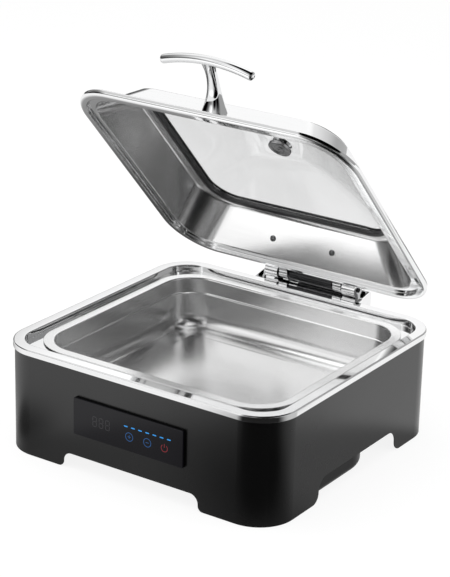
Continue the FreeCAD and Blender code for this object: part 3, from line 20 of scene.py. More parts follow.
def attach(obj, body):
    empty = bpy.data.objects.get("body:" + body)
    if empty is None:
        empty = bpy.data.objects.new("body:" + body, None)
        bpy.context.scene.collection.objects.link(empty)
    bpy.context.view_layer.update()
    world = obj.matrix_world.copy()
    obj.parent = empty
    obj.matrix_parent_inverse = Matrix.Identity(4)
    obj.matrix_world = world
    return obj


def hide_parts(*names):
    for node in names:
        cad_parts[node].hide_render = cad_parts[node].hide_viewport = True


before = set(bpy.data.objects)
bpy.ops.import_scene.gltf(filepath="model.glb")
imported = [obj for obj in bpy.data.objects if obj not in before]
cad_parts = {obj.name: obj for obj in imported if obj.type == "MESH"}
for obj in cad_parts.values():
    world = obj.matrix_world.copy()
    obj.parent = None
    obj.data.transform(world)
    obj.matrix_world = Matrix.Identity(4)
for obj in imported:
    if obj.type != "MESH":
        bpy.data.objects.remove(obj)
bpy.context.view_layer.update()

LOG = logging.getLogger("food_warmer")
MM = 0.001
CASE_MIDDLE = -14.25
HINGE_Y, HINGE_Z = 191.25, 146.4
OPEN_ANGLE = math.radians(47.08)
LID_MIDDLE = -205.5
Array = np.ndarray
Colour = tuple[float, float, float]
Socket = bpy.types.NodeSocket


# Shader node groups


class Grain(Enum):
    """Ways in which a surface is grained."""

    SPECKLE = "speckle"
    DRAWN = "drawn"
    FIBRE = "fibre"


class Graph:
    """A node tree that is filled node by node."""

    def __init__(self, tree: bpy.types.NodeTree) -> None:
        """Take the tree to fill."""
        self.tree = tree

    def fill(self, node: bpy.types.Node, inputs: Mapping[int | str, object]) -> None:
        """Link each input to the socket that is given for it, or set it to the value.

        Args:
            node: node to fill.
            inputs: value or source socket of each input, by its name or place.
        """
        for slot, given in inputs.items():
            if isinstance(given, Socket):
                self.tree.links.new(given, node.inputs[slot])
            else:
                node.inputs[slot].default_value = given

    def node(self, kind: str, inputs: Mapping[int | str, object] | None = None,
             **values: object) -> bpy.types.NodeOutputs:
        """Add a shader node, set its own properties and fill its inputs.

        Args:
            kind: class name of the node.
            inputs: value or source socket of each input, by its name or place.
            values: properties to set.

        Returns:
            The outputs of the new node.
        """
        made = self.tree.nodes.new(kind)
        for name, value in values.items():
            setattr(made, name, value)
        self.fill(made, inputs or {})
        return made.outputs

    def blended(self, share: Socket | float, first: Socket | float, second: Socket | float) -> Socket:
        """Blend two values.

        Args:
            share: 0 for the first value and 1 for the second.
            first: value or socket.
            second: value or socket.

        Returns:
            Socket with the blend.
        """
        return self.node("ShaderNodeMix", {0: share, 2: first, 3: second})[0]

    def toned(self, tone: Socket, colour: Colour, darker: float) -> Socket:
        """Blend a colour with a darker one.

        Args:
            tone: 0 for the darker colour and 1 for the full one.
            colour: the full colour.
            darker: the darker colour's share of it.

        Returns:
            Socket with the colour.
        """
        dark = (*(part * darker for part in colour), 1.0)
        return self.node("ShaderNodeMix", {0: tone, 6: dark, 7: (*colour, 1.0)}, data_type="RGBA")[2]

    def grained(self, grain: Grain, scale: float,
                stretch: Colour = (1.0, 1.0, 1.0)) -> bpy.types.NodeOutputs:
        """Add the group of a grain on the object's own coordinates.

        Args:
            grain: the grain.
            scale: size of the grain: higher is finer.
            stretch: factors on the three axes.

        Returns:
            The outputs of the group.
        """
        inputs = {"Vector": self.node("ShaderNodeTexCoord")["Object"], "Scale": scale, "Stretch": stretch}
        return self.node("ShaderNodeGroup", inputs, node_tree=grain_group(grain))


def grain_group(grain: Grain) -> bpy.types.NodeTree:
    """Group for one grain: noise on stretched coordinates, mixed with a coarser noise.

    Args:
        grain: the grain that the group draws.

    Returns:
        The group, with Vector, Scale and Stretch in, and Tone, Height and Patch out.
    """
    name = "grain " + grain.value
    if name in bpy.data.node_groups:
        return bpy.data.node_groups[name]
    tree = bpy.data.node_groups.new(name, "ShaderNodeTree")
    for title, kind in (("Vector", "Vector"), ("Scale", "Float"), ("Stretch", "Vector")):
        tree.interface.new_socket(title, in_out="INPUT", socket_type="NodeSocket" + kind)
    for title in ("Tone", "Height", "Patch"):
        tree.interface.new_socket(title, in_out="OUTPUT", socket_type="NodeSocketFloat")
    graph = Graph(tree)
    given = tree.nodes.new("NodeGroupInput").outputs
    stretched = graph.node("ShaderNodeVectorMath", {0: given["Vector"], 1: given["Stretch"]},
                           operation="MULTIPLY")
    scaled = graph.node("ShaderNodeVectorMath", {0: stretched[0], "Scale": given["Scale"]},
                        operation="SCALE")

    def noise(vector: Socket, scale: float, detail: float) -> Socket:
        """Noise on a vector."""
        return graph.node("ShaderNodeTexNoise", {"Vector": vector, "Scale": scale, "Detail": detail})[0]

    fine = noise(scaled[0], 1.0, 4.0 if grain is Grain.FIBRE else 2.0)
    coarse = noise(scaled[0], 0.31, 1.0)
    share = {Grain.SPECKLE: 0.25, Grain.DRAWN: 0.5, Grain.FIBRE: 0.4}[grain]
    height = graph.blended(share, fine, coarse)
    patch = noise(given["Vector"], 14.0, 2.0)
    tone = graph.node("ShaderNodeMapRange", {"Value": height, "From Min": 0.3, "From Max": 0.7})
    broad = graph.node("ShaderNodeMapRange", {"Value": patch, "From Min": 0.35, "From Max": 0.65})
    graph.fill(tree.nodes.new("NodeGroupOutput"), {"Tone": tone[0], "Height": height, "Patch": broad[0]})
    return tree


# Finishes


@dataclass(frozen=True)
class Look:
    """What a piece wears: a node material of its own name that is built once."""

    title: str

    def material(self) -> bpy.types.Material:
        """Build the material once, and give the same one after that.

        Returns:
            The material.
        """
        if self.title in bpy.data.materials:
            return bpy.data.materials[self.title]
        material = bpy.data.materials.new(self.title)
        material.use_nodes = True
        shader = next(n for n in material.node_tree.nodes if n.type == "BSDF_PRINCIPLED")
        self.shade(Graph(material.node_tree), shader)
        return material

    def shade(self, graph: Graph, shader: bpy.types.Node) -> None:
        """Fill in the material.

        Args:
            graph: graph of the material.
            shader: Principled shader of the material.
        """
        raise NotImplementedError


@dataclass(frozen=True)
class Finish(Look):
    """An opaque finish: a colour and gloss that vary over the surface, and a fine relief."""

    colour: Colour
    darker: float = 0.8
    metallic: float = 0.0
    roughness: float = 0.4
    spread: float = 0.04
    grain: Grain = Grain.SPECKLE
    scale: float = 900.0
    stretch: Colour = (1.0, 1.0, 1.0)
    relief: float = 0.1
    depth: float = 0.00005
    coat: float = 0.0
    coat_roughness: float = 0.05
    glow: float = 0.0
    specular: float = 0.5

    def shade(self, graph: Graph, shader: bpy.types.Node) -> None:
        """Vary the colour and the gloss by the grain, and raise its relief.

        Args:
            graph: graph of the material.
            shader: Principled shader of the material.
        """
        grain = graph.grained(self.grain, self.scale, self.stretch)
        low, high = max(0.0, self.roughness - self.spread), self.roughness + self.spread
        gloss = graph.node("ShaderNodeMapRange", {"Value": grain["Patch"], "To Min": low, "To Max": high})
        relief = {"Height": grain["Height"], "Strength": self.relief, "Distance": self.depth}
        graph.fill(shader, {
            "Emission Color" if self.glow else "Base Color":
                graph.toned(grain["Tone"], self.colour, self.darker),
            "Roughness": gloss[0], "Normal": graph.node("ShaderNodeBump", relief)[0],
            "Metallic": self.metallic, "Coat Weight": self.coat, "Coat Roughness": self.coat_roughness,
            "Specular IOR Level": self.specular})
        if self.glow:
            graph.fill(shader, {"Base Color": (0.01, 0.01, 0.012, 1.0), "Emission Strength": self.glow})


@dataclass(frozen=True)
class ClearGlass(Look):
    """Clear glass with a faint tint that lets lamp light through to what lies behind it."""

    tint: Colour = (0.8, 0.802, 0.804)
    roughness: float = 0.0

    def shade(self, graph: Graph, shader: bpy.types.Node) -> None:
        """Tint the glass, and let shadow rays pass it.

        Args:
            graph: graph of the material.
            shader: Principled shader of the material.
        """
        tone = graph.grained(Grain.SPECKLE, 40.0)["Patch"]
        graph.fill(shader, {"Base Color": graph.toned(tone, self.tint, 0.97), "Roughness": self.roughness,
                            "Transmission Weight": 1.0, "IOR": 1.45})
        shadow = graph.node("ShaderNodeLightPath")["Is Shadow Ray"]
        clear = graph.node("ShaderNodeBsdfTransparent")[0]
        mix = graph.node("ShaderNodeMixShader", {0: shadow, 1: shader.outputs[0], 2: clear})
        output = next(n for n in graph.tree.nodes if n.type == "OUTPUT_MATERIAL")
        graph.fill(output, {"Surface": mix[0]})


LINES_ALONG_X = (0.02, 1.0, 1.0)
LINES_ALONG_Z = (1.0, 1.0, 0.03)

SATIN_BLACK = Finish("satin black coat", (0.0015, 0.0015, 0.0016), 0.82, 0.0, 0.26, 0.02, scale=1500.0,
                     relief=0.06, depth=0.00003, specular=0.7)
POLISHED = Finish("polished steel", (0.94, 0.942, 0.945), 0.97, 1.0, 0.06, 0.02, Grain.DRAWN, 2500.0,
                  LINES_ALONG_X, 0.02, 0.00001)
SATIN_STEEL = Finish("satin steel inside the lid", (0.95, 0.95, 0.95), 0.97, 1.0, 0.15, 0.02, Grain.DRAWN,
                     2600.0, LINES_ALONG_X, 0.05, 0.00001)
CHROME = Finish("handle chrome", (0.88, 0.885, 0.89), 0.98, 1.0, 0.035, 0.015, scale=300.0, relief=0.02,
                depth=0.00002)
TURNED_STEEL = Finish("turned vent steel", (0.42, 0.42, 0.425), 0.9, 1.0, 0.3, 0.03, scale=600.0, relief=0.05,
                      depth=0.00002)
BRUSHED = Finish("brushed pan steel", (0.97, 0.97, 0.97), 0.97, 1.0, 0.24, 0.01, Grain.DRAWN, 2600.0,
                 LINES_ALONG_X, 0.02, 0.00001)
PANEL_GLASS = Finish("black panel glass", (0.006, 0.0055, 0.008), 0.9, 0.0, 0.2, 0.02, scale=200.0,
                     relief=0.01, specular=0.3)
DIGITS = Finish("unlit digits", (0.035, 0.033, 0.038), 0.9, 0.0, 0.3, 0.03, scale=600.0)
BLUE_LIGHT = Finish("blue lights", (0.022, 0.32, 0.82), 0.9, 0.0, 0.3, 0.03, scale=600.0, glow=1.0)
BLUE_SIGN = Finish("blue signs", (0.008, 0.08, 0.25), 0.85, 0.0, 0.3, 0.03, scale=600.0, glow=1.0)
RED_SIGN = Finish("red sign", (0.22, 0.012, 0.018), 0.85, 0.0, 0.3, 0.03, scale=600.0, glow=1.0)
WINDOW_GLASS = ClearGlass("window glass")

SLOT_FINISHES: dict[str, Look] = {
    "black_case": SATIN_BLACK,
    "polished_steel": POLISHED,
    "handle_chrome": CHROME,
    "brushed_pan": BRUSHED,
    "hinge_steel": Finish("blackened hinge steel", (0.06, 0.06, 0.062), 0.8, 1.0, 0.25, 0.05,
                          Grain.DRAWN, 900.0, LINES_ALONG_Z, 0.1),
    "screw_steel": Finish("zinc plated steel", (0.35, 0.35, 0.355), 0.85, 1.0, 0.16, 0.05, scale=1200.0),
    "foot_rubber": Finish("matt foot rubber", (0.012, 0.012, 0.012), 0.8, 0.0, 0.75, 0.08, scale=1400.0,
                          relief=0.3, depth=0.0001),
    "gasket_rubber": Finish("window seal rubber", (0.022, 0.022, 0.023), 0.8, 0.0, 0.38, 0.05, scale=1300.0,
                            relief=0.15),
    "window": WINDOW_GLASS,
    "inner_plate": Finish("inner black sheet", (0.02, 0.02, 0.021), 0.85, 0.0, 0.5, 0.06, scale=1100.0,
                          relief=0.15),
    "glossy_tray": Finish("glossy black tray", (0.004, 0.004, 0.0042), 0.9, 0.0, 0.2, 0.04, scale=500.0,
                          relief=0.05, specular=0.3),
    "heater_metal": Finish("cast heater metal", (0.6, 0.6, 0.6), 0.8, 1.0, 0.42, 0.08, scale=700.0,
                           relief=0.3, depth=0.0001),
    "heater_steel": Finish("heat tinted steel", (0.3, 0.27, 0.25), 0.6, 1.0, 0.34, 0.08, scale=120.0,
                           relief=0.1),
    "insulation": Finish("pressed mineral fibre", (0.6, 0.57, 0.5), 0.75, 0.0, 0.9, 0.05, Grain.FIBRE, 900.0,
                         (1.0, 0.3, 1.0), 0.6, 0.0003),
    "black_plastic": Finish("moulded black plastic", (0.016, 0.016, 0.017), 0.85, 0.0, 0.45, 0.05,
                            scale=1300.0, relief=0.2),
    "panel_black": PANEL_GLASS,
    "circuit_board": Finish("green circuit board", (0.012, 0.09, 0.035), 0.7, 0.0, 0.35, 0.05, scale=300.0,
                            relief=0.1, coat=0.3),
    "display": DIGITS,
    "light_guide": Finish("milky light guide", (0.5, 0.55, 0.6), 0.9, 0.0, 0.3, 0.05, scale=500.0),
    "sensor_pad": Finish("sprung touch pads", (0.55, 0.42, 0.2), 0.85, 1.0, 0.35, 0.05, scale=600.0),
    "transformer": Finish("taped winding", (0.55, 0.38, 0.03), 0.75, 0.0, 0.5, 0.06, Grain.FIBRE, 500.0,
                          (0.1, 1.0, 1.0), 0.3),
    "terminals": Finish("moulded green plastic", (0.02, 0.14, 0.04), 0.85, 0.0, 0.45, 0.05, scale=900.0,
                        relief=0.15),
}

NODE_FINISHES: dict[str, Look] = {
    "control_housing": Finish("panel frame black", (0.0012, 0.0012, 0.0013), 0.9, 0.0, 0.5, 0.04,
                              scale=1300.0, relief=0.1, specular=0.15),
}


# Surfaces


@dataclass(frozen=True)
class Ring:
    """A rounded rectangle across the z axis: one line of a stacked surface, in millimetres."""

    width: float
    depth: float
    corner: float
    level: float
    middle: float = 0.0
    trim: float = 0.0

    def inset(self, by: float, level: float, trim: float = 0.0) -> "Ring":
        """The ring that runs at a distance inside this one.

        Args:
            by: distance to the inside.
            level: height of the new ring.
            trim: radius with which the section turns at the new ring.

        Returns:
            The new ring.
        """
        corner = max(self.corner - by, 0.05)
        return Ring(self.width - 2 * by, self.depth - 2 * by, corner, level, self.middle, trim)


def softened(rings: Sequence[Ring], steps: int = 6, closed: bool = False) -> Array:
    """Rows of ring sizes with the section's turns rounded.

    Each turn is a rational quadratic curve with the cosine of half the turn as its
    middle weight, which is a circular arc in the plane of half width and height.

    Args:
        rings: the section's corner rings in order.
        steps: points on each rounded turn, less one.
        closed: whether the section runs back to its first ring.

    Returns:
        Rows of width, depth, corner, level and middle.
    """
    rows = np.array([[r.width, r.depth, r.corner, r.level, r.middle] for r in rings])
    trims = np.array([r.trim for r in rings])
    before = np.roll(rows, 1, axis=0) - rows
    after = np.roll(rows, -1, axis=0) - rows

    def reach(step: Array) -> Array:
        """Length of a step in half width and height, or in half depth if that is longer."""
        sides = np.maximum(np.abs(step[:, 0]), np.abs(step[:, 1] + 2 * np.abs(step[:, 4]))) / 2
        return np.maximum(np.hypot(sides, step[:, 3]), 1e-6)

    def plane(step: Array) -> Array:
        """Unit direction of a step in the plane of half width and height."""
        flat = np.stack([step[:, 0] / 2, step[:, 3]], axis=1)
        return flat / np.maximum(np.linalg.norm(flat, axis=1, keepdims=True), 1e-6)

    turn = np.pi - np.arccos(np.clip((plane(before) * plane(after)).sum(1), -1, 1))
    cut = trims * np.tan(turn / 2)
    share_before = np.minimum(cut / reach(before), 0.49)[:, None, None]
    share_after = np.minimum(cut / reach(after), 0.49)[:, None, None]
    t = np.linspace(0, 1, steps + 1)[None, :, None]
    weight = np.cos(turn / 2)[:, None, None]
    start = rows[:, None] + share_before * before[:, None]
    end = rows[:, None] + share_after * after[:, None]
    low, mid, high = (1 - t) ** 2, 2 * weight * t * (1 - t), t ** 2
    curves = (low * start + mid * rows[:, None] + high * end) / (low + mid + high)
    kept = [curve if trim > 0 and (closed or 0 < i < len(rows) - 1) else row[None]
            for i, (curve, row, trim) in enumerate(zip(curves, rows, trims))]
    return np.concatenate(kept)


def stacked(rows: Array, arc: int = 16, side: int = 6) -> Array:
    """Grid of points on rounded rectangles, one row of points for each row of sizes.

    A point on a corner is the corner's centre plus its radius in the direction of
    the angle, and a point on a side divides the line between two corners evenly.

    Args:
        rows: rows of width, depth, corner, level and middle.
        arc: points on each corner, less one.
        side: points inside each straight side.

    Returns:
        Points, by row, by place round the ring, by axis.
    """
    half = rows[:, None, :2] / 2 - rows[:, None, 2:3]
    signs = np.array([[1, 1], [-1, 1], [-1, -1], [1, -1]], float)
    centre = (half * signs[None])[:, :, None, :]
    angle = (np.arange(4)[:, None] + np.linspace(0, 1, arc + 1)[None]) * np.pi / 2
    round_part = np.stack([np.cos(angle), np.sin(angle)], axis=-1)[None] * rows[:, None, None, 2:3]
    corners = centre + round_part
    share = (np.arange(1, side + 1) / (side + 1))[None, None, :, None]
    nexts = np.roll(corners, -1, axis=1)[:, :, :1]
    straight = corners[:, :, -1:] * (1 - share) + nexts * share
    flat = np.concatenate([corners, straight], axis=2).reshape(len(rows), -1, 2)
    flat[:, :, 1] += rows[:, None, 4]
    level = np.broadcast_to(rows[:, None, 3:4], (*flat.shape[:2], 1))
    return np.concatenate([flat, level], axis=2)


def turned_profile(profile: Sequence[tuple[float, float]], count: int = 48) -> Array:
    """Grid of a profile turned about the z axis: radius times the cosine and sine of the angle.

    Args:
        profile: radius and height of each point.
        count: points round the axis.

    Returns:
        Points, by profile point, by angle, by axis.
    """
    line = np.array(profile, float)
    angle = np.linspace(0, 2 * np.pi, count, endpoint=False)
    across = line[:, None, 0] * np.cos(angle)[None]
    along = line[:, None, 0] * np.sin(angle)[None]
    return np.stack([across, along, np.broadcast_to(line[:, None, 1], across.shape)], axis=-1)


def on_case(points: Array) -> Array:
    """Move points from the middle of the case to the frame's place, still in millimetres."""
    return points + np.array([0.0, CASE_MIDDLE, 0.0])


def rolled(points: Array, angle: float, y: float = 0.0, z: float = 0.0) -> Array:
    """Turn points about the x axis, then move them.

    Args:
        points: points by axis.
        angle: turn in radians.
        y: move to the back.
        z: move up.

    Returns:
        The turned points.
    """
    c, s = math.cos(angle), math.sin(angle)
    turned = np.empty_like(points)
    turned[..., 0] = points[..., 0]
    turned[..., 1] = points[..., 1] * c - points[..., 2] * s + y
    turned[..., 2] = points[..., 1] * s + points[..., 2] * c + z
    return turned


def on_lid(points: Array) -> Array:
    """Turn points of the closed lid to where the open lid has them."""
    return rolled(points, -OPEN_ANGLE, HINGE_Y, HINGE_Z)


class Ends(Enum):
    """What closes the first and the last row of a surface."""

    OPEN = "open"
    CAPPED = "capped"
    JOINED = "joined"


def linked(name: str, data: bpy.types.ID) -> bpy.types.Object:
    """Make an object and link it to the scene.

    Args:
        name: name of the object.
        data: its mesh, camera or lamp.

    Returns:
        The new object.
    """
    made = bpy.data.objects.new(name, data)
    bpy.context.scene.collection.objects.link(made)
    return made


def surface(name: str, grids: Iterable[Array], finish: Look, body: str,
            ends: Ends = Ends.CAPPED, sharp: float = 32.0, around: bool = True,
            accent: tuple[Look, int, int] | None = None) -> bpy.types.Object:
    """One piece from grids of points: quads between neighbours, in the frame's place.

    Args:
        name: name of the piece.
        grids: points in millimetres, by row, by column, by axis.
        finish: finish of the piece.
        body: body that the piece rides on.
        ends: how the first and last rows are closed.
        sharp: angle in degrees above which an edge stays crisp.
        around: whether the last column joins the first.
        accent: a second finish, with the first and last row that wear it.

    Returns:
        The new object.
    """
    points, faces, start = [], [], 0
    for grid in grids:
        rows, columns = grid.shape[:2]
        index = np.arange(rows * columns).reshape(rows, columns) + start
        if ends is Ends.JOINED:
            index = np.concatenate([index, index[:1]])
        if around:
            index = np.concatenate([index, index[:, :1]], axis=1)
        quads = np.stack([index[:-1, :-1], index[:-1, 1:], index[1:, 1:], index[1:, :-1]], axis=-1)
        faces += quads.reshape(-1, 4).tolist()
        if ends is Ends.CAPPED and around:
            faces += [index[0, :-1][::-1].tolist(), index[-1, :-1].tolist()]
        points.append(grid.reshape(-1, 3))
        start += rows * columns
    mesh = bpy.data.meshes.new(name)
    mesh.from_pydata((np.concatenate(points) * MM).tolist(), [], faces)
    mesh.update()
    mesh.materials.append(finish.material())
    if accent:
        second, first_row, last_row = accent
        mesh.materials.append(second.material())
        row = np.arange(len(faces)) // grid.shape[1]
        mesh.polygons.foreach_set("material_index", ((row >= first_row) & (row < last_row)).astype(np.int32))
    point_outwards(mesh)
    mesh.polygons.foreach_set("use_smooth", np.ones(len(mesh.polygons), bool))
    mesh.set_sharp_from_angle(angle=math.radians(sharp))
    made = linked(name, mesh)
    even = made.modifiers.new("even normals", "WEIGHTED_NORMAL")
    even.keep_sharp = True
    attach(made, body)
    LOG.info("%s: %d faces", name, len(faces))
    return made


def point_outwards(mesh: bpy.types.Mesh) -> None:
    """Merge the doubles of a mesh and recalculate its faces, so that they point outwards.

    Args:
        mesh: the mesh.
    """
    work = bmesh.new()
    work.from_mesh(mesh)
    bmesh.ops.remove_doubles(work, verts=work.verts, dist=1e-7)
    bmesh.ops.recalc_face_normals(work, faces=work.faces)
    work.to_mesh(mesh)
    work.free()


# The case


@dataclass
class TopFrame:
    """Polished frame on the case, with the ledge that carries the pans."""

    outside: Ring = Ring(397.0, 377.0, 49.0, 138.2)
    ledge: Ring = Ring(338.4, 310.4, 47.0, 129.6, 3.0)
    skirt: float = 130.2
    flange: float = 14.3
    sheet: float = 1.2

    def build(self) -> None:
        """Make the frame as one section carried round the case."""
        edge, ledge, top = self.outside, self.ledge, self.outside.level
        inner = self.flange - self.sheet
        rings = [
            edge.inset(0, self.skirt, 0.4), edge.inset(0, top, 2.0), edge.inset(self.flange, top, 1.3),
            edge.inset(self.flange, ledge.level, 1.1), ledge.inset(0, ledge.level, 0.4),
            ledge.inset(0, ledge.level - self.sheet, 0.4), edge.inset(inner, ledge.level - self.sheet, 2.0),
            edge.inset(inner, top - self.sheet, 0.2), edge.inset(self.sheet, top - self.sheet, 0.8),
            edge.inset(self.sheet, self.skirt, 0.4)]
        grid = on_case(stacked(softened(rings, closed=True), 24, 8))
        made = surface("frame_polished", [grid], POLISHED, "base", Ends.JOINED)
        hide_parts("top_frame")


@dataclass
class FoodPan:
    """Brushed food pan with a flat rim, a stacking shoulder and a rounded floor."""

    rim: Ring = Ring(354.0, 326.0, 53.0, 131.8, 3.0)
    mouth: Ring = Ring(328.4, 300.4, 42.0, 131.8, 3.0)
    sheet: float = 1.0
    drop: float = 20.0
    step: float = 1.8
    lean: float = 3.5
    depth: float = 65.0
    floor_round: float = 20.0
    panel: float = 34.0
    panel_rise: float = 0.5

    def build(self) -> None:
        """Make the pan as one closed sheet, from the floor inside to the floor outside."""
        mouth, top = self.mouth, self.rim.level
        shoulder, floor = top - self.drop, top - self.depth
        foot = self.step + self.lean
        inside = [
            mouth.inset(foot + self.panel + 3, floor + self.panel_rise),
            mouth.inset(foot + self.panel, floor + self.panel_rise, 1.5),
            mouth.inset(foot + self.panel - 3, floor, 1.5),
            mouth.inset(foot, floor, self.floor_round), mouth.inset(self.step, shoulder - 1.4, 1.2),
            mouth.inset(0, shoulder, 1.6), mouth.inset(0, top, 2.2),
            self.rim.inset(0, top, 0.45)]
        out = -self.sheet
        outside = [
            self.rim.inset(0, top - self.sheet, 0.45), mouth.inset(out, top - self.sheet, 1.2),
            mouth.inset(out, shoulder - self.sheet, 1.0), mouth.inset(self.step + out, shoulder - 2.6, 1.0),
            mouth.inset(foot + out, floor + out, self.floor_round),
            mouth.inset(foot + self.panel, floor + out)]
        grid = on_case(stacked(softened(inside + outside, 8), 24, 8))
        made = surface("pan_brushed", [grid], BRUSHED, "pan")
        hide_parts("food_pan")


# The lid


@dataclass
class LidShell:
    """Polished lid: rolled rim, flange, sloping walls and flat top with the window opening."""

    rim: Ring = Ring(390.0, 367.0, 63.0, -7.9, LID_MIDDLE)
    mouth: Ring = Ring(348.5, 325.9, 44.0, -3.6, LID_MIDDLE)
    top: Ring = Ring(297.4, 266.6, 48.0, 39.5, -212.05)
    opening: Ring = Ring(266.9, 235.1, 37.8, 39.5, LID_MIDDLE)
    bead: float = 10.5
    bead_height: float = 8.0
    sheet: float = 1.0
    crown: float = 8.0

    def build(self) -> None:
        """Make the lid as one section carried round, closed on itself."""
        rim, mouth, top, hole = self.rim, self.mouth, self.top, self.opening
        low, high = rim.level, rim.level + self.bead_height
        flange = mouth.level + self.sheet
        rings = [
            hole.inset(0, top.level, 0.2), top.inset(0, top.level, self.crown),
            Ring(349.3, 326.8, 45.0, flange, LID_MIDDLE - 0.1, 2.0),
            rim.inset(self.bead, flange, 0.8), rim.inset(self.bead, high, 0.7), rim.inset(0, high, 2.0),
            rim.inset(0, low, 5.4), rim.inset(self.bead, low, 0.9), rim.inset(self.bead, mouth.level, 0.9),
            mouth.inset(0, mouth.level, 2.4),
            Ring(295.2, 264.4, 47.0, top.level - self.sheet, top.middle, self.crown - 1),
            hole.inset(0, top.level - self.sheet, 0.2)]
        rows = softened(rings, 8, closed=True)
        inside = len(softened(rings[:9], 8, closed=True)), len(rows) - 1
        grid = on_lid(stacked(rows, 28, 10))
        made = surface("lid_polished", [grid], POLISHED, "lid", Ends.JOINED,
                       accent=(SATIN_STEEL, *inside))
        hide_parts("lid_shell")


@dataclass
class Window:
    """Domed glass in its rubber seal."""

    seal: Ring = Ring(271.3, 239.5, 40.0, 37.3, LID_MIDDLE)
    sight: Ring = Ring(259.0, 227.2, 33.85, 42.8, LID_MIDDLE)
    sheet_under: float = 38.5
    lid_top: float = 39.5
    seal_top: float = 48.3
    thick: float = 4.0
    crown: float = 28.0
    flat: float = 0.18
    groove: float = 4.1
    slit: float = 2.2
    lip: float = 1.1
    lip_width: float = 6.0

    def build(self) -> None:
        """Make the seal and the glass."""
        seal, sight = self.seal, self.sight
        low, seat, inner = seal.level, sight.level, self.lip_width - self.lip
        rings = [
            sight.inset(0, low, 1.1), seal.inset(0, low, 0.8), seal.inset(0, self.sheet_under, 0.2),
            seal.inset(self.slit, self.sheet_under, 0.1), seal.inset(self.slit, self.lid_top, 0.1),
            seal.inset(-self.lip, self.lid_top, 0.2), seal.inset(-self.lip, self.seal_top, 1.6),
            seal.inset(inner, self.seal_top, 0.5), seal.inset(inner, seat + self.thick, 0.2),
            sight.inset(-self.groove, seat + self.thick, 0.1), sight.inset(-self.groove, seat, 0.1),
            sight.inset(0, seat, 0.4)]
        grid = on_lid(stacked(softened(rings, 5, closed=True), 24, 8))
        rubber = "gasket_rubber"
        made = surface("window_seal", [grid], SLOT_FINISHES[rubber], "lid", Ends.JOINED)
        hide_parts("window_gasket")
        self.build_glass()

    def dome(self, share: Array, lift: float, grow: float) -> Array:
        """Rows of the dome: the plan shrinks with the share, and the rise is a parabola of it.

        Args:
            share: from 1 at the seal to the flat share at the crown.
            lift: height of this side of the glass above the seat.
            grow: how much wider this side is.

        Returns:
            Rows of width, depth, corner, level and middle.
        """
        sight = self.sight
        part = (share - self.flat) / (1 - self.flat)
        level = sight.level + lift + self.crown * (1 - part ** 2)
        return np.stack([(sight.width + grow) * share, (sight.depth + grow) * share,
                         sight.corner * share, level, np.full_like(share, sight.middle)], axis=1)

    def build_glass(self) -> None:
        """Make the domed glass with a flat border that sits in the seal."""
        up = np.linspace(1.0, self.flat, 26)
        rim = self.sight.inset(-self.groove + 0.1, self.sight.level + 0.05)
        border = softened([rim, rim.inset(0, rim.level + self.thick - 0.1)])
        inner, outer = self.dome(up, 0.05, 0.0), self.dome(up, self.thick - 0.05, 1.0)
        rows = np.concatenate([inner[::-1], border, outer])
        grid = on_lid(stacked(rows, 20, 12))
        made = surface("window_dome", [grid], WINDOW_GLASS, "lid", sharp=50.0)
        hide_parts("window_glass")


@dataclass
class Vent:
    """Steam vent in the middle of the window: a cap outside and a grooved disc inside."""

    inside: float = 70.8
    outside: float = 74.8
    cap_radius: float = 13.0
    disc_radius: float = 15.0
    height: float = 5.0
    neck: float = 3.6
    hole: float = 1.6

    def build(self) -> None:
        """Make the cap and the disc as turned profiles."""
        hole, neck, seat = self.hole, self.neck, self.outside + 0.1
        top, r = self.outside + self.height, self.cap_radius
        cap = [(hole, seat - 4.0), (neck, seat - 4.0), (neck, seat), (r - 0.4, seat),
               (r, seat + 0.6), (r, top - 1.6), (r - 0.5, top - 0.6), (r - 1.7, top),
               (r * 0.62, top - 0.05), (r * 0.55, top - 0.7), (r * 0.4, top - 0.8),
               (r * 0.34, top - 0.2), (hole + 0.5, top - 0.2), (hole, top - 0.7)]
        high, low, r = self.inside, self.inside - self.height, self.disc_radius
        disc = [(hole, high - 0.1), (r - 0.8, high - 0.1), (r, high - 0.8),
                (r, low + 1.5), (r - 0.4, low + 0.5), (r - 1.5, low), (r * 0.74, low), (r * 0.7, low + 1.1),
                (r * 0.45, low + 1.3), (r * 0.4, low + 0.2), (r * 0.3, low), (hole + 0.6, low),
                (hole, low + 0.6)]
        for node, profile, finish in (("vent_cap", cap, CHROME), ("vent_disc", disc, TURNED_STEEL)):
            points = turned_profile(profile, 56)
            points[..., 1] += LID_MIDDLE
            made = surface(node + "_turned", [on_lid(points)], finish, "lid", Ends.JOINED)
            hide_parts(node)


